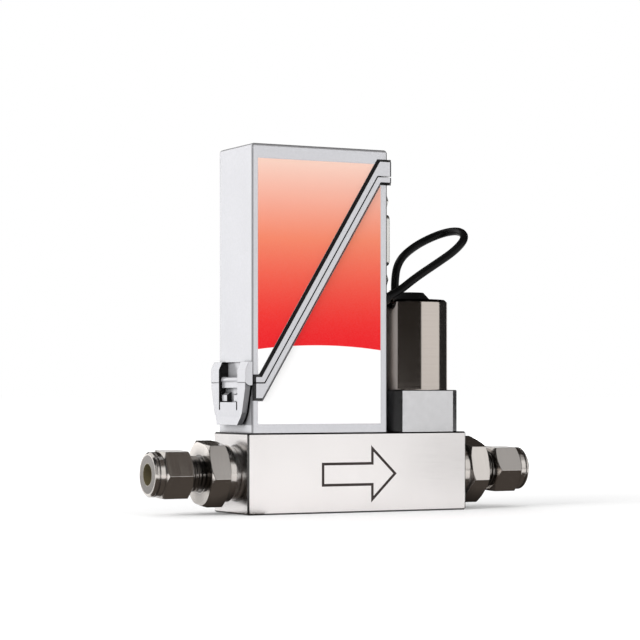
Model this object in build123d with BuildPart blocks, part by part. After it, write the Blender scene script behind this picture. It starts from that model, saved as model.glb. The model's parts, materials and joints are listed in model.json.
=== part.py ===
"""Thermal mass flow controller for gas: a flow block with compression fittings, a bypass
sensor under a two-part die-cast housing with a hinged latch, and a solenoid valve.

Frame: +X along the flow, from inlet to outlet, front towards -Y, +Z up.
Origin: centre of the flow block's bottom face.  Units: millimetres.
"""
import os
from math import atan2, degrees, pi, radians, sin, sqrt, tan

from build123d import *

os.makedirs("parts", exist_ok=True)

# ---------------------------------------------------------------- driving dimensions
# Flow block
block_inlet_margin = 1.5
block_outlet_margin = 1.6
block_depth = 25.0
block_height = 25.0
block_edge = 0.5
flow_height = 12.5
port_radius = 6.58
port_depth = 12.0
port_mouth = 0.6
mounting_pitch = 40.0
mounting_hole_radius = 1.65
mounting_hole_depth = 5.0
channel_radius = 2.0
tapped_hole_radius = 1.25
tapped_hole_depth = 4.0

# Fits
slip_fit = 0.05
running_fit = 0.06
loose_fit = 0.3

# Compression fittings, measured outwards from the block's end faces
seal_thickness = 1.8
seal_radius = 8.2
collar_radius = 8.9
collar_length = 2.4
body_hex_flats = 19.05
body_hex_length = 6.4
body_hex_chamfer = 0.7
stub_length = 10.0
neck_radius = 5.55
neck_relief_radius = 5.0
neck_relief_length = 1.6
neck_length = 8.4
tube_radius = 3.175
tube_socket_depth = 6.2
fitting_bore_radius = 2.4
ferrule_seat_depth = 1.4
ferrule_wall = 1.05
ferrule_front_length = 3.2
ferrule_back_length = 1.5
nut_gap = 4.6
nut_hex_flats = 14.29
nut_hex_length = 9.3
nut_hex_chamfer = 0.9
nut_nose_radius = 6.9
nut_nose_length = 3.2
nut_nose_chamfer = 0.6
nut_groove_depth = 0.3
nut_groove_width = 0.5
inlet_body_turn = 7.5
outlet_body_turn = 17.4
nut_turn = 3.0

# Laminar flow element in the block
element_bore_radius = 5.5
element_bore_end = 8.0
element_length = 24.0
element_slots = 12
element_slot_width = 0.7
element_slot_depth = 1.8
retainer_length = 1.5
retainer_wall = 1.6
screen_thickness = 0.6
screen_hole_radius = 0.5
screen_hole_pitch = 1.7
screen_rings = 3

# Housing
housing_width = 47.0
housing_depth = 25.0
housing_height = 88.3
housing_wall = 1.6
housing_floor = 1.6
corner_radius = 1.5
top_radius = 1.1
seam_gap = 0.35
seam_left_height = 40.3
seam_right_height = 104.8
seam_left_inset = 3.7
seam_right_inset = 4.2
rim_land = 1.75
rim_leg = 4.65
rim_height = 1.0
rim_bevel = 0.8
tongue_thickness = 0.8
tongue_reach = 2.0
tongue_clearance = 0.1
housing_screw_radius = 1.2
housing_screw_inset = 5.0
housing_screw_head_radius = 2.3
housing_screw_head_height = 1.8

# Label
label_thickness = 0.12
label_side_margin = 1.9
label_right_margin = 2.75
label_bottom_margin = 2.7
label_top_margin = 4.6
label_gap = 0.15

# Latch on the housing's left side
latch_pin_radius = 0.45
latch_pin_height = 41.3
latch_pin_standoff = 0.75
ear_inner = 6.75
ear_outer = 12.75
ear_standoff = 2.4
ear_bottom = 40.6
ear_shoulder = 44.4
ear_top = 46.8
ear_top_standoff = 1.3
ear_recess = 0.8
ear_recess_top = 46.7
knuckle_radius = 0.95
knuckle_gap = 0.15
lever_thickness = 1.7
lever_gap = 0.7
lever_half_width = 12.4
lever_shoulder_half_width = 10.1
lever_shoulder_height = 31.2
lever_tip_half_width = 7.4
lever_bottom = 27.4
lever_lip_height = 2.3
lever_lip_reach = 0.4
lever_top_clearance = 0.1
window_half_width = 6.7
window_bottom = 34.4
window_top = 38.8
window_slit_width = 0.8
window_slit_depth = 2.4
web_standoff = 1.35
web_wall_gap = 0.3
web_root = 0.55
web_overlap = 0.8
catch_width = 3.7
catch_spacing = 8.7
catch_standoff = 1.6
catch_bottom_clearance = 0.3
catch_height = 2.9
catch_slope = 1.0

# Sensor
sensor_base_length = 25.0
sensor_base_depth = 18.0
sensor_base_height = 8.0
sensor_leg_pitch = 18.0
sensor_hole_radius = 0.8
sensor_tube_radius = 0.75
sensor_tube_rise = 13.0
sensor_tube_bend = 3.0
sensor_socket_depth = 4.0
winding_length = 5.0
winding_radius = 1.6
winding_pitch = 7.0
sensor_seal_radius = 1.5
sensor_seal_section = 1.0
sensor_seal_squeeze = 0.2
sensor_screw_radius = 1.25
sensor_screw_pitch_x = 19.2
sensor_screw_pitch_y = 12.4
sensor_screw_head_radius = 2.2
sensor_screw_head_height = 2.4
sensor_cover_length = 24.0
sensor_cover_depth = 7.0
sensor_cover_height = 17.0
sensor_cover_wall = 1.0
board_lug_width = 14.0
board_lug_height = 10.0
board_lug_thickness = 1.3

# Electronics
board_front = 7.2
board_thickness = 1.6
board_right_clearance = 1.6
board_bottom = 36.0
board_height = 72.0
board_left_clearance = 1.4
board_screw_radius = 0.9
board_screw_pitch = 10.0
board_screw_height = 40.0
board_screw_head_radius = 1.8
board_screw_head_height = 1.2
chip_thickness = 1.4
processor_size = 12.0
processor_height = 40.0
converter_width = 8.0
converter_length = 5.0
converter_height = 54.0
driver_size = 6.0
driver_height = 22.0
driver_offset = 8.0
capacitor_radius = 2.4
capacitor_length = 5.0
capacitor_pitch = 8.0
capacitor_inset = 6.0
capacitor_height = 58.0
header_length = 8.0
header_height = 4.0
header_depth = 4.5
header_wall = 0.7
header_offset = 12.0
header_height_on_board = 34.0

# Nine-pole connector on the housing's right side
connector_height = 85.8
flange_width = 12.5
flange_length = 30.8
flange_thickness = 0.8
flange_corner = 1.5
shell_length = 16.9
shell_width = 8.4
shell_slope = 10.0
shell_corner = 1.8
shell_reach = 5.2
shell_wall = 0.5
cutout_clearance = 0.4
insert_depth = 6.2
insert_reach = 1.0
contact_radius = 0.5
contact_pitch = 2.77
contact_row_spacing = 2.84
contact_reach = 4.4
contact_tail = 3.0
jack_pitch = 25.0
jack_flats = 4.8
jack_reach = 5.5
jack_hole_radius = 1.0
jack_shank_radius = 1.2
jack_shank_length = 3.0

# Solenoid valve
valve_gap = 1.9
valve_base_size = 25.0
valve_base_height = 13.2
valve_base_chamfer = 3.3
chamber_radius = 6.0
chamber_depth = 4.0
seat_radius = 3.0
seat_sunk = 3.0
seat_nose_radius = 1.6
seat_nose_height = 2.3
orifice_radius = 0.6
tube_bore_radius = 4.08
core_tube_wall = 0.42
core_tube_flange_radius = 6.4
core_tube_flange = 1.5
core_tube_headroom = 6.0
valve_seal_radius = 8.3
valve_seal_section = 1.2
valve_seal_squeeze = 0.25
valve_screw_spacing = 15.2
valve_screw_radius = 1.2
valve_screw_head_radius = 2.2
valve_screw_head_height = 2.4
plunger_length = 19.5
plunger_stroke = 0.4
plunger_air_gap = 0.2
plunger_seal_radius = 2.4
plunger_seal_thickness = 1.2
spring_pocket_radius = 2.7
spring_pocket_depth = 6.0
spring_radius = 2.2
spring_wire_radius = 0.3
spring_turns = 5
core_top_clearance = 1.0
core_stud_radius = 2.0
coil_radius = 12.5
coil_height = 28.8
coil_wall = 1.1
coil_top = 1.5
coil_edge = 0.9
coil_top_hole_radius = 6.0
flux_washer_thickness = 1.5
bobbin_flange_radius = 11.0
bobbin_flange = 1.2
bobbin_wall = 0.9
winding_gap = 0.4
cap_base_radius = 7.0
cap_top_radius = 4.8
cap_height = 2.4
cap_spigot = 1.4
cap_stud_depth = 2.0

# Valve cable, from the coil's cap to the gland in the housing's right wall; its points
# are counted from the centre of the coil's top
cable_diameter = 2.6
cable_boss_radius = 1.75
gland_nose_radius = 2.1
gland_nose_length = 2.0
gland_flange_radius = 2.6
gland_flange = 0.8
gland_body_radius = 1.7
arc_share = 0.45
cable_offsets = [
    (-3.9, 2.0, 3.2),
    (-3.9, 2.0, 8.4),
    (-1.2, 3.6, 13.2),
    (3.8, 5.6, 16.8),
    (9.5, 5.8, 20.2),
    (14.9, 2.4, 23.0),
    (17.2, -4.2, 23.4),
    (15.2, -11.2, 20.6),
    (9.4, -14.4, 16.0),
    (2.6, -12.8, 11.2),
    (-3.4, -10.2, 6.6),
    (-8.4, -8.2, 2.2),
    (-12.2, -8.0, 0.5),
]

# ---------------------------------------------------------------- values that follow
flow_axis = Axis((0, 0, flow_height), (1, 0, 0))
block_length = (
    block_inlet_margin + housing_width + valve_gap + valve_base_size + block_outlet_margin
)
block_half = block_length / 2
housing_left = block_inlet_margin - block_half
housing_right = housing_left + housing_width
housing_centre = housing_left + housing_width / 2
housing_front = housing_depth / 2
housing_top = block_height + housing_height
cavity_left = housing_left + housing_wall
cavity_right = housing_right - housing_wall
cavity_bottom = block_height + housing_floor
board_width = cavity_right - cavity_left - board_left_clearance - board_right_clearance
cavity_top = housing_top - housing_wall
seam_left_kink = housing_left + seam_left_inset
seam_right_kink = housing_right - seam_right_inset
seam_angle = atan2(seam_right_height - seam_left_height, seam_right_kink - seam_left_kink)
tube_socket_radius = tube_radius + slip_fit / 2

collar_start = seal_thickness
body_hex_start = collar_start + collar_length
neck_start = body_hex_start + body_hex_length
neck_end = neck_start + neck_length
nut_start = neck_start + nut_gap
nut_hex_end = nut_start + nut_hex_length
nut_end = nut_hex_end + nut_nose_length
socket_bottom = neck_end - tube_socket_depth
ferrule_radius = tube_radius + ferrule_wall
front_ferrule_start = neck_end - ferrule_seat_depth
back_ferrule_start = front_ferrule_start + ferrule_front_length
back_ferrule_end = back_ferrule_start + ferrule_back_length

valve_centre = housing_right + valve_gap + valve_base_size / 2
valve_feed_x = valve_centre - (chamber_radius + seat_radius) / 2 + channel_radius / 2
valve_top = block_height + valve_base_height
coil_top_height = valve_top + coil_height
seat_top = block_height - chamber_depth + seat_nose_height
plunger_bottom = seat_top
plunger_top = plunger_bottom + plunger_length
core_bottom = plunger_top + plunger_stroke + plunger_air_gap
core_tube_top = coil_top_height - core_tube_headroom
core_shoulder = core_tube_top + core_top_clearance
core_stud_top = coil_top_height - cap_spigot + cap_stud_depth - loose_fit
core_tube_radius = tube_bore_radius + core_tube_wall
valve_axis = Axis((valve_centre, 0, 0), (0, 0, 1))

latch_axis_x = housing_left - latch_pin_standoff
lever_inner = housing_left - lever_gap
lever_outer = lever_inner - lever_thickness
ear_face = housing_left - ear_standoff
ear_arc_radius = sqrt((ear_face - latch_axis_x) ** 2 + (latch_pin_height - ear_bottom) ** 2)
lever_arc_radius = ear_arc_radius + lever_top_clearance

cable_start = Vector(valve_centre, 0, coil_top_height)
corners = [cable_start + Vector(*offset) for offset in cable_offsets]
runs = [end - start for start, end in zip(corners, corners[1:])]
gland_centre = corners[-1] + runs[-1] * ((housing_right - corners[-1].X) / runs[-1].X)

reach = 2 * (block_length + housing_height)


# ---------------------------------------------------------------- helpers
def end_plane(side, distance):
    """Plane across the flow, distance outwards from an end face; side is -1 inlet, 1 outlet."""
    return Plane(
        origin=(side * (block_half + distance), 0, flow_height),
        x_dir=(0, 1, 0),
        z_dir=(side, 0, 0),
    )


def end_section(side):
    """Plane through the flow axis: x outwards from an end face, y upwards from the axis."""
    return Plane(
        origin=(side * block_half, 0, flow_height),
        x_dir=(side, 0, 0),
        z_dir=(0, -side, 0),
    )


def wall_plane(x, y, z):
    """Plane parallel to the housing's right wall, with its normal along +X."""
    return Plane(origin=(x, y, z), x_dir=(0, 1, 0), z_dir=(1, 0, 0))


def valve_section():
    """Plane through the valve's axis: x is the radius, y the height above the block's bottom."""
    return Plane(origin=(valve_centre, 0, 0), x_dir=(1, 0, 0), z_dir=(0, -1, 0))


def turned(points, plane, axis):
    """Turn a closed half section about an axis, inside the part being built."""
    with BuildSketch(plane) as section:
        with BuildLine():
            Polyline(*points, close=True)
        make_face()
    revolve(section.sketch, axis=axis)


def seam_line(left_offset, diagonal_offset, right_offset, left, right):
    """Points of a line that follows the housing's seam, moved up by an offset on each stretch."""
    left_height = seam_left_height + left_offset
    right_height = seam_right_height + right_offset
    shift = diagonal_offset / sin(seam_angle)
    kinks = [
        (seam_left_kink + (height - seam_left_height) / tan(seam_angle) - shift, height)
        for height in (left_height, right_height)
    ]
    return [(left, left_height), *kinks, (right, right_height)]


def band(lower, upper, mode=Mode.ADD):
    """Closed face between two lines that follow the seam, in the sketch being drawn."""
    with BuildLine() as outline:
        Polyline(*lower, *reversed(upper), close=True)
    make_face(outline.edges(), mode=mode)


def save(sub_part, name):
    """Name a finished sub-part and write it as its own file."""
    sub_part.part.label = name
    export_step(sub_part.part, f"parts/{name}.step")


# ---------------------------------------------------------------- flow block
with BuildPart() as base_block:
    with BuildSketch():
        Rectangle(block_length, block_depth)
    extrude(amount=block_height)
    chamfer(base_block.edges(), length=block_edge)
    for side in (-1, 1):
        with BuildSketch(end_plane(side, 0)):
            Circle(port_radius)
        extrude(amount=-port_depth, mode=Mode.SUBTRACT)
    port_mouths = base_block.edges().filter_by(GeomType.CIRCLE).filter_by(
        lambda edge: abs(edge.center().X) > block_half - block_edge
    )
    chamfer(port_mouths, length=port_mouth)
    # Bore for the laminar flow element, and the channels to and from the valve's chamber
    with BuildSketch(end_plane(-1, -port_depth)):
        Circle(element_bore_radius)
    extrude(amount=port_depth - block_half - element_bore_end, mode=Mode.SUBTRACT)
    with BuildSketch(wall_plane(element_bore_end, 0, flow_height)):
        Circle(channel_radius)
    extrude(amount=valve_feed_x - element_bore_end, mode=Mode.SUBTRACT)
    with BuildSketch(Plane.XY.offset(flow_height)):
        with Locations((valve_feed_x - channel_radius / 2, 0)):
            Circle(channel_radius / 2)
    extrude(amount=block_height - chamber_depth - flow_height, mode=Mode.SUBTRACT)
    with BuildSketch(Plane.XY.offset(block_height)):
        with Locations((valve_centre, 0)):
            Circle(chamber_radius)
    extrude(amount=-chamber_depth, mode=Mode.SUBTRACT)
    with BuildSketch(Plane.XY.offset(block_height - chamber_depth)):
        with Locations((valve_centre, 0)):
            Circle(seat_radius)
    extrude(amount=-seat_sunk, mode=Mode.SUBTRACT)
    with BuildSketch(Plane.XY.offset(flow_height)):
        with Locations((valve_centre, 0)):
            Circle(channel_radius)
    extrude(amount=block_height - chamber_depth - seat_sunk - flow_height, mode=Mode.SUBTRACT)
    with BuildSketch(wall_plane(valve_centre - channel_radius, 0, flow_height)):
        Circle(channel_radius)
    extrude(amount=block_half - port_depth - valve_centre + channel_radius, mode=Mode.SUBTRACT)
    # Sensor taps into the flow element's bore
    with BuildSketch(Plane.XY.offset(flow_height)):
        with Locations((housing_centre, 0)):
            with GridLocations(sensor_leg_pitch, 1, 2, 1):
                Circle(sensor_hole_radius)
    extrude(amount=block_height - flow_height, mode=Mode.SUBTRACT)
    # Tapped holes in the top, for the sensor, the housing and the valve
    with BuildSketch(Plane.XY.offset(block_height)):
        with Locations((housing_centre, 0)):
            with GridLocations(sensor_screw_pitch_x, sensor_screw_pitch_y, 2, 2):
                Circle(sensor_screw_radius)
            with GridLocations(housing_width - 2 * housing_screw_inset, 1, 2, 1):
                Circle(tapped_hole_radius)
        with Locations((valve_centre, 0)):
            with GridLocations(valve_screw_spacing, valve_screw_spacing, 2, 2):
                Circle(tapped_hole_radius)
    extrude(amount=-tapped_hole_depth, mode=Mode.SUBTRACT)
    # Mounting holes in the bottom
    with BuildSketch():
        with GridLocations(mounting_pitch, 1, 2, 1):
            Circle(mounting_hole_radius)
    extrude(amount=mounting_hole_depth, mode=Mode.SUBTRACT)
save(base_block, "base_block")


# ---------------------------------------------------------------- compression fittings
def hexagon_bar(side, start, end, flats, turn, corner_chamfer):
    """Hexagon across the flow axis with a corner towards the front, its corners chamfered."""
    corner = flats / sqrt(3)
    flank = corner_chamfer * tan(radians(60))
    with BuildSketch(end_plane(side, start)) as hexagon:
        RegularPolygon(flats / 2, 6, major_radius=False, rotation=side * turn)
    extrude(hexagon.sketch, amount=end - start)
    with BuildSketch(end_section(side)) as envelope:
        with BuildLine():
            Polyline(
                (start, 0),
                (start, corner - flank),
                (start + corner_chamfer, corner),
                (end - corner_chamfer, corner),
                (end, corner - flank),
                (end, 0),
                close=True,
            )
        make_face()
    revolve(envelope.sketch, axis=flow_axis, mode=Mode.INTERSECT)


def fitting_body(side, turn):
    """Male connector body: port stub, sealing collar, hexagon, threaded neck and tube socket."""
    with BuildPart() as body:
        hexagon_bar(side, body_hex_start, neck_start, body_hex_flats, turn, body_hex_chamfer)
        turned(
            [
                (-stub_length, 0),
                (-stub_length, port_radius - slip_fit - port_mouth),
                (port_mouth - stub_length, port_radius - slip_fit),
                (collar_start, port_radius - slip_fit),
                (collar_start, collar_radius),
                (body_hex_start, collar_radius),
                (body_hex_start, neck_relief_radius),
                (neck_start + neck_relief_length, neck_relief_radius),
                (neck_start + neck_relief_length, neck_radius),
                (neck_end - port_mouth, neck_radius),
                (neck_end, neck_radius - port_mouth),
                (neck_end, 0),
            ],
            end_section(side),
            flow_axis,
        )
        # Through bore, tube socket and the cone that the front ferrule is pressed into
        with BuildSketch(end_section(side)):
            with BuildLine():
                Polyline(
                    (-stub_length, 0),
                    (-stub_length, fitting_bore_radius),
                    (socket_bottom, fitting_bore_radius),
                    (socket_bottom, tube_socket_radius),
                    (front_ferrule_start, tube_socket_radius),
                    (neck_end, ferrule_radius),
                    (neck_end, 0),
                    close=True,
                )
            make_face()
        revolve(axis=flow_axis, mode=Mode.SUBTRACT)
    return body


def seal_ring(side):
    """Flat sealing washer between the block's end face and the fitting's collar."""
    with BuildPart() as ring:
        with BuildSketch(end_plane(side, 0)):
            Circle(seal_radius)
            Circle(port_radius + slip_fit, mode=Mode.SUBTRACT)
        extrude(amount=seal_thickness)
        rims = ring.edges().filter_by(GeomType.CIRCLE).group_by(SortBy.RADIUS)[-1]
        fillet(rims, radius=seal_thickness / 4)
    return ring


def ferrule(side, start, end, start_radius, end_radius):
    """Coned ring that grips the tube."""
    with BuildPart() as ring:
        turned(
            [
                (start, tube_socket_radius),
                (start, start_radius),
                (end, end_radius),
                (end, tube_socket_radius),
            ],
            end_section(side),
            flow_axis,
        )
    return ring


def fitting_nut(side):
    """Union nut: hexagon, round nose with a fine groove, thread bore and a cone behind."""
    with BuildPart() as nut:
        hexagon_bar(side, nut_start, nut_hex_end, nut_hex_flats, nut_turn, nut_hex_chamfer)
        groove_start = nut_end - nut_nose_chamfer - 2 * nut_groove_width
        turned(
            [
                (nut_hex_end, 0),
                (nut_hex_end, nut_nose_radius),
                (groove_start, nut_nose_radius),
                (groove_start, nut_nose_radius - nut_groove_depth),
                (groove_start + nut_groove_width, nut_nose_radius - nut_groove_depth),
                (groove_start + nut_groove_width, nut_nose_radius),
                (nut_end - nut_nose_chamfer, nut_nose_radius),
                (nut_end, nut_nose_radius - nut_nose_chamfer),
                (nut_end, 0),
            ],
            end_section(side),
            flow_axis,
        )
        with BuildSketch(end_section(side)):
            with BuildLine():
                Polyline(
                    (nut_start, 0),
                    (nut_start, neck_radius + slip_fit),
                    (back_ferrule_end - ferrule_wall / 2, neck_radius + slip_fit),
                    (back_ferrule_end, ferrule_radius),
                    (back_ferrule_end, tube_socket_radius + slip_fit),
                    (nut_end, tube_socket_radius + slip_fit),
                    (nut_end, 0),
                    close=True,
                )
            make_face()
        revolve(axis=flow_axis, mode=Mode.SUBTRACT)
    return nut


for side, end_name, body_turn in ((-1, "inlet", inlet_body_turn), (1, "outlet", outlet_body_turn)):
    save(fitting_body(side, body_turn), f"{end_name}_fitting")
    save(seal_ring(side), f"{end_name}_seal")
    front_ferrule = ferrule(
        side,
        front_ferrule_start + 2 * slip_fit,
        back_ferrule_start,
        tube_socket_radius + slip_fit,
        ferrule_radius,
    )
    save(front_ferrule, f"{end_name}_front_ferrule")
    back_ferrule = ferrule(
        side, back_ferrule_start, back_ferrule_end, ferrule_radius, ferrule_radius - slip_fit
    )
    save(back_ferrule, f"{end_name}_back_ferrule")
    save(fitting_nut(side), f"{end_name}_nut")

# ---------------------------------------------------------------- flow element and screen
with BuildPart() as element_retainer:
    with BuildSketch(end_plane(-1, -port_depth)):
        Circle(element_bore_radius - slip_fit)
        Circle(element_bore_radius - retainer_wall, mode=Mode.SUBTRACT)
    extrude(amount=-retainer_length)
save(element_retainer, "element_retainer")

with BuildPart() as inlet_screen:
    with BuildSketch(end_plane(-1, -port_depth - retainer_length)):
        Circle(element_bore_radius - slip_fit)
        with HexLocations(screen_hole_pitch / 2, screen_rings, screen_rings):
            Circle(screen_hole_radius, mode=Mode.SUBTRACT)
    extrude(amount=-screen_thickness)
save(inlet_screen, "inlet_screen")

with BuildPart() as laminar_flow_element:
    with BuildSketch(end_plane(-1, -port_depth - retainer_length - screen_thickness)):
        Circle(element_bore_radius - slip_fit)
        with PolarLocations(element_bore_radius - element_slot_depth / 2, element_slots):
            Rectangle(2 * element_slot_depth, element_slot_width, mode=Mode.SUBTRACT)
    extrude(amount=-element_length)
save(laminar_flow_element, "laminar_flow_element")

# ---------------------------------------------------------------- bypass sensor
sensor_top = block_height + sensor_base_height
seal_groove = sensor_seal_section - sensor_seal_squeeze
tube_foot = sensor_top - sensor_socket_depth

with BuildPart() as sensor_base:
    with BuildSketch(Plane.XY.offset(block_height)):
        with Locations((housing_centre, 0)):
            RectangleRounded(sensor_base_length, sensor_base_depth, corner_radius)
    extrude(amount=sensor_base_height)
    # Upright lug at the rear that carries the circuit board
    with BuildSketch(Plane.XY.offset(sensor_top)):
        with Locations((housing_centre, board_front)):
            Rectangle(board_lug_width, board_lug_thickness, align=(Align.CENTER, Align.MAX))
    extrude(amount=board_lug_height)
    with BuildSketch(Plane.XZ.offset(-board_front)):
        with Locations((housing_centre, board_screw_height)):
            with GridLocations(board_screw_pitch, 1, 2, 1):
                Circle(board_screw_radius)
    extrude(amount=board_lug_thickness, mode=Mode.SUBTRACT)
    # Gas passages, sockets for the tube's legs and grooves for their seals
    with BuildSketch(Plane.XY.offset(block_height)):
        with Locations((housing_centre, 0)):
            with GridLocations(sensor_leg_pitch, 1, 2, 1):
                Circle(sensor_hole_radius)
            with GridLocations(sensor_screw_pitch_x, sensor_screw_pitch_y, 2, 2):
                Circle(sensor_screw_radius + slip_fit)
    extrude(amount=sensor_base_height, mode=Mode.SUBTRACT)
    with BuildSketch(Plane.XY.offset(block_height)):
        with Locations((housing_centre, 0)):
            with GridLocations(sensor_leg_pitch, 1, 2, 1):
                Circle(sensor_seal_radius + sensor_seal_section / 2 + slip_fit)
    extrude(amount=seal_groove, mode=Mode.SUBTRACT)
save(sensor_base, "sensor_base")

with BuildPart() as sensor_seals:
    for leg in (-1, 1):
        leg_x = housing_centre + leg * sensor_leg_pitch / 2
        with BuildSketch(Plane(origin=(leg_x, 0, block_height), z_dir=(0, -1, 0))):
            with Locations((sensor_seal_radius, seal_groove / 2)):
                RectangleRounded(sensor_seal_section, seal_groove, seal_groove / 3)
        revolve(axis=Axis((leg_x, 0, 0), (0, 0, 1)))
save(sensor_seals, "sensor_seals")

with BuildPart() as sensor_tube:
    leg_left = housing_centre - sensor_leg_pitch / 2
    leg_right = housing_centre + sensor_leg_pitch / 2
    with BuildLine() as tube_path:
        FilletPolyline(
            (leg_left, 0, tube_foot),
            (leg_left, 0, sensor_top + sensor_tube_rise),
            (leg_right, 0, sensor_top + sensor_tube_rise),
            (leg_right, 0, tube_foot),
            radius=sensor_tube_bend,
        )
    with BuildSketch(Plane(origin=(leg_left, 0, tube_foot), z_dir=(0, 0, 1))):
        Circle(sensor_tube_radius)
        Circle(sensor_tube_radius / 2, mode=Mode.SUBTRACT)
    sweep(path=tube_path.line)
save(sensor_tube, "sensor_tube")

with BuildPart() as sensor_windings:
    for step in (-1, 1):
        winding_x = housing_centre + step * winding_pitch / 2 - winding_length / 2
        with BuildSketch(wall_plane(winding_x, 0, sensor_top + sensor_tube_rise)):
            Circle(winding_radius)
            Circle(sensor_tube_radius + slip_fit, mode=Mode.SUBTRACT)
        extrude(amount=winding_length)
save(sensor_windings, "sensor_windings")

with BuildPart() as sensor_cover:
    with BuildSketch(Plane.XY.offset(sensor_top)):
        with Locations((housing_centre, 0)):
            RectangleRounded(sensor_cover_length, sensor_cover_depth, corner_radius)
    extrude(amount=sensor_cover_height)
    fillet(sensor_cover.faces().sort_by(Axis.Z)[-1].edges(), radius=sensor_cover_wall / 2)
    with BuildSketch(Plane.XY.offset(sensor_top)):
        with Locations((housing_centre, 0)):
            Rectangle(
                sensor_cover_length - 2 * sensor_cover_wall,
                sensor_cover_depth - 2 * sensor_cover_wall,
            )
    extrude(amount=sensor_cover_height - sensor_cover_wall, mode=Mode.SUBTRACT)
save(sensor_cover, "sensor_cover")


def socket_screws(positions, seat_height, shank_radius, depth, head_radius, head_height):
    """Group of socket head screws that stand on a seat, heads up."""
    with BuildPart() as screws:
        with BuildSketch(Plane.XY.offset(seat_height)):
            with Locations(*positions):
                Circle(head_radius)
        extrude(amount=head_height)
        chamfer(
            screws.faces().sort_by(Axis.Z)[-len(positions):].edges(),
            length=head_height / 8,
        )
        with BuildSketch(Plane.XY.offset(seat_height + head_height)):
            with Locations(*positions):
                RegularPolygon(head_radius / 2, 6)
        extrude(amount=-head_height / 2, mode=Mode.SUBTRACT)
        with BuildSketch(Plane.XY.offset(seat_height)):
            with Locations(*positions):
                Circle(shank_radius - slip_fit)
        extrude(amount=-depth)
    return screws


sensor_screws = socket_screws(
    [
        (housing_centre + side * sensor_screw_pitch_x / 2, end * sensor_screw_pitch_y / 2)
        for side in (-1, 1)
        for end in (-1, 1)
    ],
    sensor_top,
    sensor_screw_radius,
    sensor_base_height + tapped_hole_depth - loose_fit,
    sensor_screw_head_radius,
    sensor_screw_head_height,
)
save(sensor_screws, "sensor_screws")

# ---------------------------------------------------------------- electronics
board_left = cavity_left + board_left_clearance
board_centre = board_left + board_width / 2
board_top = board_bottom + board_height

with BuildPart() as circuit_board:
    with BuildSketch(Plane.XZ.offset(-board_front)):
        with Locations((board_centre, board_bottom + board_height / 2)):
            RectangleRounded(board_width, board_height, corner_radius)
        with Locations((housing_centre, board_screw_height)):
            with GridLocations(board_screw_pitch, 1, 2, 1):
                Circle(board_screw_radius, mode=Mode.SUBTRACT)
    extrude(amount=-board_thickness)
save(circuit_board, "circuit_board")

with BuildPart() as board_screws:
    with BuildSketch(Plane.XZ.offset(-board_front - board_thickness)):
        with Locations((housing_centre, board_screw_height)):
            with GridLocations(board_screw_pitch, 1, 2, 1):
                Circle(board_screw_head_radius)
    extrude(amount=-board_screw_head_height)
    with BuildSketch(Plane.XZ.offset(-board_front - board_thickness)):
        with Locations((housing_centre, board_screw_height)):
            with GridLocations(board_screw_pitch, 1, 2, 1):
                Circle(board_screw_radius - slip_fit)
    extrude(amount=board_thickness + board_lug_thickness)
save(board_screws, "board_screws")

with BuildPart() as board_chips:
    with BuildSketch(Plane.XZ.offset(-board_front)):
        with Locations((board_centre, board_bottom + processor_height)):
            Rectangle(processor_size, processor_size)
        with Locations((board_centre, board_bottom + converter_height)):
            Rectangle(converter_width, converter_length)
        with Locations((board_centre - driver_offset, board_bottom + driver_height)):
            Rectangle(driver_size, driver_size)
    extrude(amount=chip_thickness)
save(board_chips, "board_chips")

with BuildPart() as board_capacitors:
    with BuildSketch(Plane.XZ.offset(-board_front)):
        with Locations((board_left + capacitor_inset, board_bottom + capacitor_height)):
            with GridLocations(1, capacitor_pitch, 1, 2):
                Circle(capacitor_radius)
    extrude(amount=capacitor_length)
save(board_capacitors, "board_capacitors")

with BuildPart() as board_header:
    header_centre = (board_centre + header_offset, board_bottom + header_height_on_board)
    with BuildSketch(Plane.XZ.offset(-board_front)):
        with Locations(header_centre):
            Rectangle(header_length, header_height)
    extrude(amount=header_depth)
    with BuildSketch(Plane.XZ.offset(header_depth - board_front)):
        with Locations(header_centre):
            Rectangle(header_length - 2 * header_wall, header_height - 2 * header_wall)
    extrude(amount=header_wall - header_depth, mode=Mode.SUBTRACT)
save(board_header, "board_header")


# ---------------------------------------------------------------- housing halves
def housing_shell():
    """Whole die-cast shell before it is parted along the seam, closed all round."""
    with BuildPart() as shell:
        with BuildSketch(Plane.XY.offset(block_height)):
            with Locations((housing_centre, 0)):
                Rectangle(housing_width, housing_depth)
        extrude(amount=housing_height)
        uprights = shell.edges().filter_by(Axis.Z).sort_by(Axis.Y)
        fillet(uprights[-2:], radius=corner_radius)
        fillet(uprights[:2].sort_by(Axis.X)[-1], radius=top_radius)
        crown = shell.faces().sort_by(Axis.Z)[-1].edges()
        fillet(crown.filter_by(lambda edge: edge.center().X > housing_centre
                               or edge.center().Y > 0), radius=top_radius)
        with BuildSketch(Plane.XY.offset(cavity_bottom)):
            with Locations((housing_centre, 0)):
                Rectangle(housing_width - 2 * housing_wall, housing_depth - 2 * housing_wall)
        extrude(amount=cavity_top - cavity_bottom, mode=Mode.SUBTRACT)
    return shell.part


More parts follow.
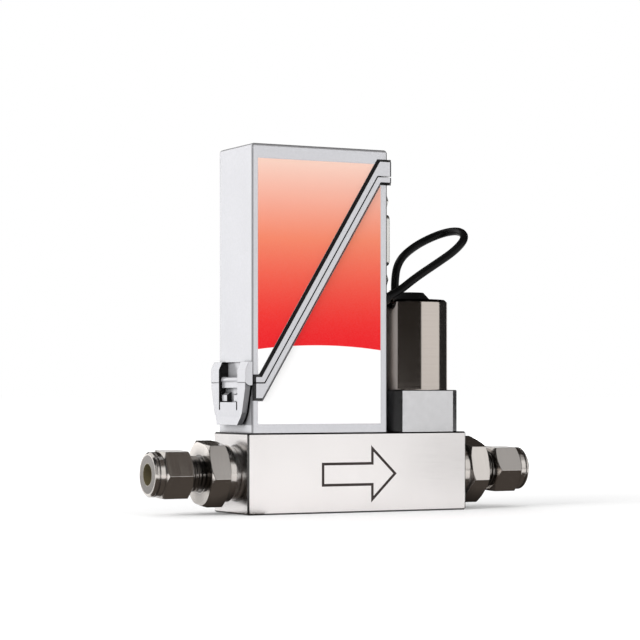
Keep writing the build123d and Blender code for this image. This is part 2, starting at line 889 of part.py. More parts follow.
def rim_band():
    """Raised rims on both sides of the seam: front, rear and round the right wall."""
    with BuildPart() as rim:
        with BuildSketch(Plane.XZ.offset(housing_front)):
            left = housing_left + rim_bevel
            right = housing_right + rim_height - rim_bevel
            band(
                seam_line(-rim_leg, -rim_land, -rim_land, left, right),
                seam_line(rim_land, rim_land, rim_leg, left, right),
            )
            offset(amount=rim_bevel, kind=Kind.INTERSECTION)
        extrude(amount=rim_height, taper=degrees(atan2(rim_bevel, rim_height)))
        mirror(about=Plane.XZ)
        rim_foot = seam_right_height - rim_land - rim_bevel
        rim_top = seam_right_height + rim_leg + rim_bevel
        with BuildSketch(wall_plane(housing_right, 0, (rim_foot + rim_top) / 2)):
            Rectangle(housing_depth + 2 * rim_height, rim_top - rim_foot)
        extrude(amount=rim_height, taper=degrees(atan2(rim_bevel, rim_height)))
    return rim.part


def keep_side(lower, upper):
    """Keep what lies between two lines that follow the seam, right through the part."""
    with BuildSketch(Plane.XZ) as region:
        band(lower, upper)
    extrude(region.sketch, amount=reach, both=True, mode=Mode.INTERSECT)


def tongue(clearance, lower_offset, upper_offset):
    """Stretch of the inner tongue along the seam, inside the housing's walls."""
    with BuildPart() as strip:
        with BuildSketch(Plane.XY.offset(cavity_bottom)):
            with Locations((housing_centre, 0)):
                Rectangle(
                    housing_width - 2 * housing_wall - 2 * clearance,
                    housing_depth - 2 * housing_wall - 2 * clearance,
                )
                Rectangle(
                    housing_width - 2 * housing_wall - 2 * tongue_thickness,
                    housing_depth - 2 * housing_wall - 2 * tongue_thickness,
                    mode=Mode.SUBTRACT,
                )
        extrude(amount=cavity_top - cavity_bottom)
        keep_side(
            seam_line(lower_offset, lower_offset, lower_offset, housing_left, housing_right),
            seam_line(upper_offset, upper_offset, upper_offset, housing_left, housing_right),
        )
    return strip.part


far_left = housing_left - reach
far_right = housing_right + reach

with BuildPart() as housing_cover:
    add(housing_shell())
    add(rim_band())
    keep_side(
        seam_line(seam_gap / 2, seam_gap / 2, seam_gap / 2, far_left, far_right),
        [(far_left, housing_top + reach), (far_right, housing_top + reach)],
    )
    # Two ears that carry the latch's pin, with a shallow recess in the wall between them
    with BuildSketch(Plane.XZ):
        with BuildLine():
            arc_end = latch_pin_height - sqrt(
                ear_arc_radius**2 - (housing_left - latch_axis_x) ** 2
            )
            Polyline(
                (housing_left, arc_end),
                (housing_left, ear_top),
                (housing_left - ear_top_standoff, ear_top),
                (ear_face, ear_shoulder),
                (ear_face, ear_bottom),
            )
            ThreePointArc(
                (ear_face, ear_bottom),
                (latch_axis_x, latch_pin_height - ear_arc_radius),
                (housing_left, arc_end),
            )
        make_face()
    extrude(amount=ear_outer, both=True)
    with BuildSketch(Plane.XZ):
        with BuildLine():
            Polyline(
                (ear_face - rim_height, seam_left_height - rim_leg),
                (ear_face - rim_height, ear_top),
                (housing_left, ear_top),
                (housing_left, ear_recess_top),
                (housing_left + ear_recess, ear_recess_top),
                (housing_left + ear_recess, seam_left_height - rim_leg),
                close=True,
            )
        make_face()
    extrude(amount=ear_inner, both=True, mode=Mode.SUBTRACT)
    with BuildSketch(Plane.XZ):
        with Locations((latch_axis_x, latch_pin_height)):
            Circle(latch_pin_radius)
    extrude(amount=ear_outer - ear_top_standoff / 2, both=True, mode=Mode.SUBTRACT)
save(housing_cover, "housing_cover")

with BuildPart() as housing_base:
    add(housing_shell())
    add(rim_band())
    keep_side(
        [(far_left, block_height), (far_right, block_height)],
        seam_line(-seam_gap / 2, -seam_gap / 2, -seam_gap / 2, far_left, far_right),
    )
    add(tongue(0, -tongue_reach, -seam_gap / 2))
    add(tongue(tongue_clearance, -seam_gap / 2, tongue_reach))
    # Floor: opening round the sensor's base and the two screw holes
    with BuildSketch(Plane.XY.offset(block_height)):
        with Locations((housing_centre, 0)):
            Rectangle(sensor_base_length + 2 * loose_fit, sensor_base_depth + 2 * loose_fit)
            with GridLocations(housing_width - 2 * housing_screw_inset, 1, 2, 1):
                Circle(tapped_hole_radius + slip_fit)
    extrude(amount=housing_floor, mode=Mode.SUBTRACT)
    # Right wall: cut-out for the connector and hole for the cable's gland
    with BuildSketch(wall_plane(housing_right, 0, connector_height)):
        Rectangle(shell_width + cutout_clearance, shell_length + cutout_clearance)
        with GridLocations(1, jack_pitch, 1, 2):
            Circle(jack_shank_radius + slip_fit)
    extrude(amount=-housing_wall, mode=Mode.SUBTRACT)
    with BuildSketch(wall_plane(housing_right, gland_centre.Y, gland_centre.Z)):
        Circle(gland_body_radius + slip_fit)
    extrude(amount=-housing_wall, mode=Mode.SUBTRACT)
    # Two wedge-shaped catches under the latch's window
    catch_foot = window_bottom + catch_bottom_clearance
    with BuildSketch(Plane.XZ):
        with BuildLine():
            Polyline(
                (housing_left, catch_foot),
                (housing_left - catch_standoff, catch_foot),
                (housing_left - catch_standoff, catch_foot + catch_height - catch_slope),
                (housing_left, catch_foot + catch_height),
                close=True,
            )
        make_face()
    extrude(amount=(catch_spacing + catch_width) / 2, both=True)
    with BuildSketch(Plane.XZ):
        with Locations((housing_left, catch_foot)):
            Rectangle(
                2 * catch_standoff, catch_height, align=(Align.MAX, Align.MIN)
            )
    extrude(amount=(catch_spacing - catch_width) / 2, both=True, mode=Mode.SUBTRACT)
save(housing_base, "housing_base")

housing_screws = socket_screws(
    [(housing_centre + side * (housing_width / 2 - housing_screw_inset), 0) for side in (-1, 1)],
    cavity_bottom,
    tapped_hole_radius,
    housing_floor + tapped_hole_depth - loose_fit,
    housing_screw_head_radius,
    housing_screw_head_height,
)
save(housing_screws, "housing_screws")


# ---------------------------------------------------------------- label in two parts
def label_face(lower, upper):
    """Part of the label's rectangle that lies between two lines along the seam."""
    with BuildPart() as label:
        with BuildSketch(Plane.XZ.offset(housing_front)):
            label_left = housing_left + label_side_margin
            label_right = housing_right - label_right_margin
            label_bottom = block_height + label_bottom_margin
            label_top = housing_top - label_top_margin
            with Locations((label_left, label_bottom)):
                Rectangle(
                    label_right - label_left,
                    label_top - label_bottom,
                    align=(Align.MIN, Align.MIN),
                )
            band(lower, upper, mode=Mode.INTERSECT)
        extrude(amount=label_thickness)
    return label


rim_outside = rim_land + rim_bevel + label_gap
leg_outside = rim_leg + rim_bevel + label_gap
label_upper = label_face(
    seam_line(rim_outside, rim_outside, leg_outside, far_left, far_right),
    [(far_left, housing_top), (far_right, housing_top)],
)
save(label_upper, "label_upper")
label_lower = label_face(
    [(far_left, block_height), (far_right, block_height)],
    seam_line(-leg_outside, -rim_outside, -rim_outside, far_left, far_right),
)
save(label_lower, "label_lower")

# ---------------------------------------------------------------- latch
with BuildPart() as latch_pin:
    with BuildSketch(Plane.XZ):
        with Locations((latch_axis_x, latch_pin_height)):
            Circle(latch_pin_radius)
    extrude(amount=ear_outer - ear_top_standoff / 2, both=True)
save(latch_pin, "latch_pin")


def lever_top(x):
    """Height of the lever arms' hollow top edge at x."""
    return latch_pin_height - sqrt(lever_arc_radius**2 - (x - latch_axis_x) ** 2)


with BuildPart() as latch_lever:
    # Side profile: arms hollowed round the ears at the top, a thumb lip at the bottom
    lip_top = lever_bottom + lever_lip_height
    with BuildSketch(Plane.XZ):
        with BuildLine():
            Polyline(
                (lever_inner, lever_top(lever_inner)),
                (lever_inner, lip_top),
                (lever_inner - lever_lip_reach, lever_bottom),
                (lever_outer - lever_lip_reach, lever_bottom),
                (lever_outer, lip_top),
                (lever_outer, lever_top(lever_outer)),
            )
            ThreePointArc(
                (lever_outer, lever_top(lever_outer)),
                ((lever_outer + lever_inner) / 2, lever_top((lever_outer + lever_inner) / 2)),
                (lever_inner, lever_top(lever_inner)),
            )
        make_face()
    extrude(amount=lever_half_width, both=True)
    # Outline from the side: parallel, then drawn in towards the tip
    with BuildSketch(Plane.YZ):
        with BuildLine():
            Polyline(
                (-lever_half_width, ear_top),
                (-lever_half_width, window_top),
                (-lever_shoulder_half_width, lever_shoulder_height),
                (-lever_tip_half_width, lever_bottom),
                (lever_tip_half_width, lever_bottom),
                (lever_shoulder_half_width, lever_shoulder_height),
                (lever_half_width, window_top),
                (lever_half_width, ear_top),
                close=True,
            )
        make_face()
    extrude(amount=reach, both=True, mode=Mode.INTERSECT)
    # Window with a relief slit at each lower corner, open at the top between the arms
    with BuildSketch(Plane.YZ):
        with Locations((0, window_bottom)):
            Rectangle(
                2 * window_half_width, ear_top - window_bottom, align=(Align.CENTER, Align.MIN)
            )
        for side in (-1, 1):
            with Locations((side * (window_half_width - window_slit_width / 2), window_bottom)):
                Rectangle(
                    window_slit_width, window_slit_depth, align=(Align.CENTER, Align.MAX)
                )
    extrude(amount=reach, both=True, mode=Mode.SUBTRACT)
    # Cross web that joins the arms, and the knuckle round the pin
    web_outer = housing_left - web_standoff
    web_inner = housing_left - web_wall_gap
    with BuildSketch(Plane.XZ):
        with Locations((web_outer, window_top)):
            Rectangle(web_inner - web_outer, web_root, align=(Align.MIN, Align.MIN))
    extrude(amount=window_half_width + web_overlap, both=True)
    with BuildSketch(Plane.XZ):
        with Locations((web_outer, window_top)):
            Rectangle(
                web_inner - web_outer,
                latch_pin_height - window_top,
                align=(Align.MIN, Align.MIN),
            )
        with Locations((latch_axis_x, latch_pin_height)):
            Circle(knuckle_radius)
    extrude(amount=ear_inner - knuckle_gap, both=True)
    with BuildSketch(Plane.XZ):
        with Locations((latch_axis_x, latch_pin_height)):
            Circle(latch_pin_radius + running_fit)
    extrude(amount=lever_half_width, both=True, mode=Mode.SUBTRACT)
save(latch_lever, "latch_lever")


# ---------------------------------------------------------------- nine-pole connector
def shell_outline(inset):
    """D-shaped outline of the connector's shell, drawn in by an inset."""
    half_length = shell_length / 2
    short_half = half_length - shell_width * tan(radians(shell_slope))
    with BuildSketch(Plane.XY) as outline:
        with BuildLine():
            Polyline(
                (-shell_width / 2, -half_length),
                (-shell_width / 2, half_length),
                (shell_width / 2, short_half),
                (shell_width / 2, -short_half),
                close=True,
            )
        make_face()
        fillet(outline.vertices(), radius=shell_corner)
        offset(amount=-inset, kind=Kind.INTERSECTION)
    return outline.sketch


def contact_places():
    """Centres of the contacts: a row of five and a row of four."""
    rows = ((-contact_row_spacing / 2, 5), (contact_row_spacing / 2, 4))
    return [
        (y, (step - (count - 1) / 2) * contact_pitch) for y, count in rows for step in range(count)
    ]


flange_face = housing_right + flange_thickness

with BuildPart() as connector_shell:
    with BuildSketch(wall_plane(housing_right, 0, connector_height)):
        RectangleRounded(flange_width, flange_length, flange_corner)
        with GridLocations(1, jack_pitch, 1, 2):
            Circle(jack_shank_radius + slip_fit, mode=Mode.SUBTRACT)
    extrude(amount=flange_thickness)
    with BuildSketch(wall_plane(housing_right, 0, connector_height)):
        add(shell_outline(0))
    extrude(amount=shell_reach)
    with BuildSketch(wall_plane(housing_right, 0, connector_height)):
        add(shell_outline(shell_wall))
    extrude(amount=shell_reach, mode=Mode.SUBTRACT)
save(connector_shell, "connector_shell")

with BuildPart() as connector_insert:
    with BuildSketch(wall_plane(housing_right - insert_depth, 0, connector_height)):
        add(shell_outline(shell_wall + slip_fit))
    extrude(amount=insert_depth + insert_reach)
    with BuildSketch(wall_plane(housing_right - insert_depth, 0, connector_height)):
        with Locations(*contact_places()):
            Circle(contact_radius + slip_fit)
    extrude(amount=insert_depth + insert_reach, mode=Mode.SUBTRACT)
save(connector_insert, "connector_insert")

with BuildPart() as connector_pins:
    pins_start = housing_right - insert_depth - contact_tail
    pins_end = housing_right + contact_reach
    with BuildSketch(wall_plane(pins_start, 0, connector_height)):
        with Locations(*contact_places()):
            Circle(contact_radius)
    extrude(amount=pins_end - pins_start)
    chamfer(
        connector_pins.faces().filter_by(Axis.X).group_by(Axis.X)[-1].edges(),
        length=contact_radius / 2,
    )
save(connector_pins, "connector_pins")

with BuildPart() as jack_screws:
    with BuildSketch(wall_plane(flange_face, 0, connector_height)):
        with GridLocations(1, jack_pitch, 1, 2):
            RegularPolygon(jack_flats / 2, 6, major_radius=False)
            Circle(jack_hole_radius, mode=Mode.SUBTRACT)
    extrude(amount=jack_reach - flange_thickness)
    with BuildSketch(wall_plane(flange_face, 0, connector_height)):
        with GridLocations(1, jack_pitch, 1, 2):
            Circle(jack_shank_radius)
    extrude(amount=-flange_thickness - jack_shank_length)
save(jack_screws, "jack_screws")

# ---------------------------------------------------------------- solenoid valve
with BuildPart() as valve_base:
    with BuildSketch(Plane.XY.offset(block_height)) as valve_outline:
        with Locations((valve_centre, 0)):
            Rectangle(valve_base_size, valve_base_size)
        chamfer(valve_outline.vertices(), length=valve_base_chamfer)
    extrude(amount=valve_base_height)
    chamfer(valve_base.faces().sort_by(Axis.Z)[-1].edges(), length=block_edge / 2)
    # Bore for the core tube, seat for its flange and groove for the seal
    with BuildSketch(Plane.XY.offset(block_height)):
        with Locations((valve_centre, 0)):
            Circle(core_tube_radius + slip_fit)
    extrude(amount=valve_base_height, mode=Mode.SUBTRACT)
    with BuildSketch(Plane.XY.offset(block_height)):
        with Locations((valve_centre, 0)):
            Circle(core_tube_flange_radius + slip_fit)
    extrude(amount=core_tube_flange, mode=Mode.SUBTRACT)
    with BuildSketch(Plane.XY.offset(block_height)):
        with Locations((valve_centre, 0)):
            Circle(valve_seal_radius + valve_seal_section / 2 + slip_fit)
            Circle(valve_seal_radius - valve_seal_section / 2 - slip_fit, mode=Mode.SUBTRACT)
    extrude(amount=valve_seal_section - valve_seal_squeeze, mode=Mode.SUBTRACT)
    # Counterbored holes for the four fixing screws, under the coil
    with BuildSketch(Plane.XY.offset(block_height)):
        with Locations((valve_centre, 0)):
            with GridLocations(valve_screw_spacing, valve_screw_spacing, 2, 2):
                Circle(valve_screw_radius + slip_fit)
    extrude(amount=valve_base_height, mode=Mode.SUBTRACT)
    with BuildSketch(Plane.XY.offset(valve_top)):
        with Locations((valve_centre, 0)):
            with GridLocations(valve_screw_spacing, valve_screw_spacing, 2, 2):
                Circle(valve_screw_head_radius + slip_fit)
    extrude(amount=-valve_screw_head_height - slip_fit, mode=Mode.SUBTRACT)
save(valve_base, "valve_base")

valve_base_screws = socket_screws(
    [
        (valve_centre + side * valve_screw_spacing / 2, end * valve_screw_spacing / 2)
        for side in (-1, 1)
        for end in (-1, 1)
    ],
    valve_top - valve_screw_head_height - slip_fit,
    valve_screw_radius,
    valve_base_height - valve_screw_head_height + tapped_hole_depth - loose_fit,
    valve_screw_head_radius,
    valve_screw_head_height,
)
save(valve_base_screws, "valve_base_screws")

with BuildPart() as valve_seal:
    with BuildSketch(valve_section()):
        with Locations(
            (valve_seal_radius, block_height + (valve_seal_section - valve_seal_squeeze) / 2)
        ):
            RectangleRounded(
                valve_seal_section,
                valve_seal_section - valve_seal_squeeze,
                (valve_seal_section - valve_seal_squeeze) / 3,
            )
    revolve(axis=valve_axis)
save(valve_seal, "valve_seal")

chamber_floor = block_height - chamber_depth
with BuildPart() as valve_seat:
    turned(
        [
            (orifice_radius, chamber_floor - seat_sunk),
            (seat_radius - slip_fit, chamber_floor - seat_sunk),
            (seat_radius - slip_fit, chamber_floor),
            (seat_nose_radius, seat_top),
            (orifice_radius, seat_top),
        ],
        valve_section(),
        valve_axis,
    )
save(valve_seat, "valve_seat")

with BuildPart() as core_tube:
    turned(
        [
            (tube_bore_radius, block_height),
            (core_tube_flange_radius, block_height),
            (core_tube_flange_radius, block_height + core_tube_flange),
            (core_tube_radius, block_height + core_tube_flange),
            (core_tube_radius, core_tube_top),
            (tube_bore_radius, core_tube_top),
        ],
        valve_section(),
        valve_axis,
    )
save(core_tube, "core_tube")

plunger_radius = tube_bore_radius - running_fit
with BuildPart() as plunger:
    turned(
        [
            (0, plunger_bottom + plunger_seal_thickness),
            (plunger_seal_radius, plunger_bottom + plunger_seal_thickness),
            (plunger_seal_radius, plunger_bottom),
            (plunger_radius, plunger_bottom),
            (plunger_radius, plunger_top),
            (spring_pocket_radius, plunger_top),
            (spring_pocket_radius, plunger_top - spring_pocket_depth),
            (0, plunger_top - spring_pocket_depth),
        ],
        valve_section(),
        valve_axis,
    )
save(plunger, "plunger")

with BuildPart() as plunger_seal:
    with BuildSketch(Plane.XY.offset(plunger_bottom)):
        with Locations((valve_centre, 0)):
            Circle(plunger_seal_radius)
    extrude(amount=plunger_seal_thickness)
save(plunger_seal, "plunger_seal")

spring_bottom = plunger_top - spring_pocket_depth + spring_wire_radius
spring_top = core_bottom - spring_wire_radius
with BuildPart() as plunger_spring:
    with BuildLine():
        spring_wire = Helix(
            pitch=(spring_top - spring_bottom) / spring_turns,
            height=spring_top - spring_bottom,
            radius=spring_radius,
            center=(valve_centre, 0, spring_bottom),
        )
    with BuildSketch(Plane(origin=spring_wire @ 0, z_dir=spring_wire % 0)):
        Circle(spring_wire_radius)
    sweep(path=spring_wire, is_frenet=True)
save(plunger_spring, "plunger_spring")

with BuildPart() as fixed_core:
    turned(
        [
            (0, core_bottom),
            (tube_bore_radius - slip_fit, core_bottom),
            (tube_bore_radius - slip_fit, core_shoulder),
            (core_stud_radius, core_shoulder),
            (core_stud_radius, core_stud_top),
            (0, core_stud_top),
        ],
        valve_section(),
        valve_axis,
    )
save(fixed_core, "fixed_core")

with BuildPart() as coil_housing:
    turned(
        [
            (coil_radius - coil_wall, valve_top),
            (coil_radius, valve_top),
            (coil_radius, coil_top_height - coil_edge),
            (coil_radius - coil_edge, coil_top_height),
            (coil_top_hole_radius, coil_top_height),
            (coil_top_hole_radius, coil_top_height - coil_top),
            (coil_radius - coil_wall, coil_top_height - coil_top),
        ],
        valve_section(),
        valve_axis,
    )
save(coil_housing, "coil_housing")

with BuildPart() as flux_washer:
    with BuildSketch(Plane.XY.offset(valve_top)):
        with Locations((valve_centre, 0)):
            Circle(coil_radius - coil_wall - slip_fit)
            Circle(core_tube_radius + slip_fit, mode=Mode.SUBTRACT)
    extrude(amount=flux_washer_thickness)
save(flux_washer, "flux_washer")

bobbin_bottom = valve_top + flux_washer_thickness
bobbin_top = coil_top_height - coil_top
bobbin_barrel = core_tube_radius + slip_fit + bobbin_wall
with BuildPart() as coil_bobbin:
    turned(
        [
            (core_tube_radius + slip_fit, bobbin_bottom),
            (bobbin_flange_radius, bobbin_bottom),
            (bobbin_flange_radius, bobbin_bottom + bobbin_flange),
            (bobbin_barrel, bobbin_bottom + bobbin_flange),
            (bobbin_barrel, bobbin_top - bobbin_flange),
            (bobbin_flange_radius, bobbin_top - bobbin_flange),
            (bobbin_flange_radius, bobbin_top),
            (core_tube_radius + slip_fit, bobbin_top),
        ],
        valve_section(),
        valve_axis,
    )
save(coil_bobbin, "coil_bobbin")

with BuildPart() as coil_winding:
    with BuildSketch(Plane.XY.offset(bobbin_bottom + bobbin_flange)):
        with Locations((valve_centre, 0)):
            Circle(bobbin_flange_radius - winding_gap)
            Circle(bobbin_barrel, mode=Mode.SUBTRACT)
    extrude(amount=bobbin_top - bobbin_bottom - 2 * bobbin_flange)
save(coil_winding, "coil_winding")

with BuildPart() as valve_cap:
    turned(
        [
            (0, coil_top_height - cap_spigot),
            (coil_top_hole_radius - slip_fit, coil_top_height - cap_spigot),
            (coil_top_hole_radius - slip_fit, coil_top_height),
            (cap_base_radius, coil_top_height),
            (cap_top_radius, coil_top_height + cap_height),
            (0, coil_top_height + cap_height),
        ],
        valve_section(),
        valve_axis,
    )
    # Boss from which the cable leaves, and the blind hole for the core's stud
    with BuildSketch(Plane.XY.offset(coil_top_height)):
        with Locations((corners[0].X, corners[0].Y)):
            Circle(cable_boss_radius)
    extrude(amount=corners[0].Z - coil_top_height)
    with BuildSketch(Plane.XY.offset(coil_top_height - cap_spigot)):
        with Locations((valve_centre, 0)):
            Circle(core_stud_radius + slip_fit)
    extrude(amount=cap_stud_depth, mode=Mode.SUBTRACT)
save(valve_cap, "valve_cap")

# ---------------------------------------------------------------- valve cable and its gland
gland_wall = wall_plane(housing_right, gland_centre.Y, gland_centre.Z)
with BuildPart() as cable_gland:
    # Nose along the cable's last run, cut off at the wall
    with BuildSketch(Plane(origin=corners[-1], z_dir=runs[-1])):
        Circle(gland_nose_radius)
    extrude(amount=2 * gland_nose_length)
    fillet(
        cable_gland.edges().filter_by(GeomType.CIRCLE).sort_by(Axis.X)[-1],
        radius=(gland_nose_radius - cable_diameter / 2) / 2,
    )
    split(bisect_by=gland_wall, keep=Keep.TOP)
    # Flange on each side of the wall, and the body through the hole
    with BuildSketch(gland_wall):
        Circle(gland_flange_radius)
    extrude(amount=gland_flange)
    with BuildSketch(gland_wall):
        Circle(gland_body_radius)
    extrude(amount=-housing_wall)
    with BuildSketch(gland_wall.offset(-housing_wall)):
        Circle(gland_flange_radius)
    extrude(amount=-gland_flange)
save(cable_gland, "cable_gland")

bend_radii = [
    arc_share * min(before.length, after.length) / tan(radians(before.get_angle(after)) / 2)
    for before, after in zip(runs, runs[1:])
]

with BuildPart() as valve_cable:
    with BuildLine() as cable_path:
        FilletPolyline(*corners, radius=bend_radii)
    with BuildSketch(Plane(origin=corners[0], z_dir=runs[0])):
        Circle(cable_diameter / 2)
    sweep(path=cable_path.line)
save(valve_cable, "valve_cable")

cable_length = sum(edge.length for edge in cable_path.edges())
cable_section = pi * cable_diameter**2 / 4
print("bend radii in cable diameters:", [round(r / cable_diameter, 2) for r in bend_radii])
print("cable length:", round(cable_length, 2), "mm")
print("volume by section times length:", round(valve_cable.part.volume / cable_length / cable_section, 4))
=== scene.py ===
"""Gas mass flow controller: finishes, printed parts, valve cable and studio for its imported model."""
import json
from math import pi, radians

import bmesh
import bpy
from bpy.props import FloatProperty, FloatVectorProperty, PointerProperty
from bpy.types import NodeSocket
from mathutils import Matrix, Vector


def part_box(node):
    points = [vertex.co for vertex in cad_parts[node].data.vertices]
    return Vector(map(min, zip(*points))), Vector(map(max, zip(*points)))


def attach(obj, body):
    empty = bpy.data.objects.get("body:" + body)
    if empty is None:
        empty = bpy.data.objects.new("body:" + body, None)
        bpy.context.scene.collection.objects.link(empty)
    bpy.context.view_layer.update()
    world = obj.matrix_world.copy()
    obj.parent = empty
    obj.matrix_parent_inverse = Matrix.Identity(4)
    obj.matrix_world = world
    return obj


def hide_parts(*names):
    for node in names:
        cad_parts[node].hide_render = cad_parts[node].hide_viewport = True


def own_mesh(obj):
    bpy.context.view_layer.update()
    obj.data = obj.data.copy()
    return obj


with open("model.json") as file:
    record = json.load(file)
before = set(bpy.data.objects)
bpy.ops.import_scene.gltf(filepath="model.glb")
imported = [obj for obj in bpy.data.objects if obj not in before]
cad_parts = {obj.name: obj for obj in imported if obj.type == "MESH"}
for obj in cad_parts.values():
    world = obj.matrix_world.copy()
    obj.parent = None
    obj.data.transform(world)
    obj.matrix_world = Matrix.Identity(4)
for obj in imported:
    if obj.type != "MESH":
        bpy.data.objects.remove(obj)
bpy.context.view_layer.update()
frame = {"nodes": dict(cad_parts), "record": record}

bl_info = {
    "name": "Mass Flow Controller Dressing",
    "version": (1, 0, 0),
    "blender": (4, 5, 0),
    "location": "View3D > Sidebar > Flow Controller",
    "description": "Finishes, flow arrow, valve cable and studio for a gas mass flow controller",
    "category": "Object",
}

MM = 0.001

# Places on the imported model
BLOCK_LOW, BLOCK_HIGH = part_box("base_block")
COIL_LOW, COIL_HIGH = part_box("coil_housing")
LABEL_LOW, LABEL_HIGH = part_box("label_lower")
LABEL_MARGIN = 1.9 * MM
HOUSING_LEFT = LABEL_LOW[0] - LABEL_MARGIN
HOUSING_FRONT = LABEL_HIGH[1]
HOUSING_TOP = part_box("housing_cover")[1][2]
FLOW_HEIGHT = (BLOCK_LOW[2] + BLOCK_HIGH[2]) / 2
COIL_AXIS = ((COIL_LOW[0] + COIL_HIGH[0]) / 2, (COIL_LOW[1] + COIL_HIGH[1]) / 2, 0)

# Turned zones of the fittings
THREAD_PITCH = 1.27 * MM
THREAD_DEPTH = 0.15 * MM
SOCKET_RADIUS = 3.35 * MM
NECK_RADIUS = 5.8 * MM
COLLAR_SHADE_REACH = 8 * MM
# Painted shade inside the tube sockets, dull and dark where the bores lie in shadow
BORE_PAINTED_SHADE = (0.125, 0.105, 0.056)

# Darkest tones of the casting: painted dark reflection on its bevels and inner flanks, and painted shade
# deep in its recesses
PAINTED_DARK_REFLECTION = (0.006, 0.006, 0.006)
RECESS_PAINTED_SHADE = (0.012, 0.012, 0.013)

# The label's fade from its foot upwards, its bare paper, and the arc between them
LABEL_RED = (0.775, 0.001, 0.006)
LABEL_CORAL = (0.812, 0.215, 0.12)
LABEL_PALE = (0.845, 0.565, 0.468)
LABEL_PAPER = (0.95, 0.95, 0.95)
LABEL_DUST = (0.6, 0.6, 0.6)
FADE_FOOT, FADE_HEAD, FADE_POWER = 50.0 * MM, 107.8 * MM, 1.9
ARC_TOP, ARC_BOW, ARC_BLUR = 51.9 * MM, 3.0, 0.06 * MM

# The arrow's middle above the floor, and how far its line stands out and reaches in
ARROW_HEIGHT = 12.0 * MM
ARROW_PROUD, ARROW_THICK = 0.02 * MM, 0.04 * MM

# The cable's route from the coil's cap to the gland, in metres
CABLE_ROUTE = [
    (0.0205, 0.0020, 0.0702), (0.0205, 0.0020, 0.0754), (0.0232, 0.0036, 0.0802),
    (0.0282, 0.0056, 0.0838), (0.0339, 0.0058, 0.0870), (0.0391, 0.0024, 0.0895),
    (0.0411, -0.0042, 0.0897), (0.0392, -0.0112, 0.0870), (0.0336, -0.0144, 0.0826),
    (0.0270, -0.0128, 0.0780), (0.0210, -0.0102, 0.0736), (0.0160, -0.0082, 0.0692),
    (0.0122, -0.0080, 0.0675),
]

# A level camera, its place in metres and its turn to the right in degrees
CAMERA_LENS, CAMERA_SENSOR, CAMERA_SHIFT = 121.548, 36.0, 0.11457
CAMERA_PLACE = (-0.317655, -0.605449, 0.037122)
CAMERA_TURN = -27.121

# The floor lies this far under the part, and is lifted to white from near to far
FLOOR_DROP = 0.00002
FLOOR_NEAR, FLOOR_FAR = (0.1, 0.07), (0.5, 0.37)
FLOOR_MIRRORED = 0.12

# Reflection cards: name, ends in degrees, heights and radii in metres, glow, tint
NEUTRAL = (1.0, 1.0, 1.0)
WARM = (1.0, 0.86, 0.76)
WALL = (0, 0.7, 1.0, 1.0)
CARDS = [
    ("card_left", -209, -169, *WALL, 0.03, NEUTRAL),
    ("card_left_gap", -168, -155, *WALL, 0.5, NEUTRAL),
    ("card_front", -154, -80, *WALL, 0.022, WARM),
    ("card_right", -16, 35, *WALL, 0.03, NEUTRAL),
    ("card_back_left", 100, 148, *WALL, 1.1, NEUTRAL),
    ("card_back", 35, 98, 0.2, 0.7, 1.0, 1.0, 0.04, WARM),
    ("card_above_left", -209, -80, 0.7, 0.7, 0.05, 1.0, 0.03, NEUTRAL),
    ("card_above_front", -80, -16, 0.7, 0.7, 0.38, 1.0, 0.5, NEUTRAL),
    ("card_above_near", -80, -16, 0.7, 0.7, 0.05, 0.37, 0.08, WARM),
    ("card_above_far", -16, 98, 0.7, 0.7, 0.05, 1.0, 0.03, WARM),
    ("card_near", -80, -20, 0.25, 0.25, 0.05, 0.25, 0.1, WARM),
    ("card_front_low", -57, -30, 0, 0.02, 0.2, 0.2, 0.66, NEUTRAL),
    ("card_below_left", -184, -140, 0.0002, 0.0002, 0.035, 0.12, 0.09, WARM),
    ("card_below_right", -22, 30, 0.0002, 0.0002, 0.042, 0.09, 0.08, WARM),
    ("card_below_back", 60, 150, 0.0002, 0.0002, 0.06, 0.6, 0.65, NEUTRAL),
]

# Soft lamps: name, place and size in metres; all look at the middle of the part
LAMP_TARGET = (0, 0, 0.05)
LAMPS = [
    ("key", (-0.98, -0.2, 0.4), (0.6, 0.6)),
    ("fill", (0.35, -0.9, 0.5), (0.5, 0.5)),
    ("rear", (0.55, 0.9, 0.35), (0.8, 0.8)),
]


# ---------------------------------------------------------------- properties
def colour(name, description, default):
    """A linear colour that a user may change."""
    return FloatVectorProperty(
        name=name, description=description, default=default, size=3, min=0, max=1, subtype="COLOR"
    )


def length(name, description, default):
    """A length in metres that a user may change."""
    return FloatProperty(
        name=name, description=description, default=default, min=0, unit="LENGTH", precision=5
    )


class FinishSettings(bpy.types.PropertyGroup):
    block: colour("Flow block", "Satin steel of the block", (0.84, 0.81, 0.80))
    fitting: colour("Fittings", "Turned steel of bodies and nuts", (0.66, 0.62, 0.585))
    casting: colour("Housing", "Silver of the die-cast halves", (0.615, 0.615, 0.64))
    coil: colour("Coil can", "Dark plating of the coil can", (0.56, 0.505, 0.46))
    moulding: colour("Mouldings", "Black moulded plastic", (0.006, 0.006, 0.006))
    jacket: colour("Cable jacket", "Black of the valve cable", (0.004, 0.004, 0.004))


class ArrowSettings(bpy.types.PropertyGroup):
    tail: length("Tail", "From the block's centre to the arrow's tail", 13.3 * MM)
    neck: length("Neck", "From the block's centre to the arrow's head", 4.0 * MM)
    tip: length("Tip", "From the block's centre to the arrow's tip", 13.1 * MM)
    shaft: length("Shaft", "Half of the shaft's height", 3.7 * MM)
    head: length("Head", "Half of the head's height", 8.95 * MM)
    line: length("Line", "Width of the dark line", 0.85 * MM)
    ink: colour("Line colour", "Colour of the dark line", (0.022, 0.012, 0.010))


class CableSettings(bpy.types.PropertyGroup):
    diameter: length("Diameter", "Outside diameter of the jacket", 2.6 * MM)


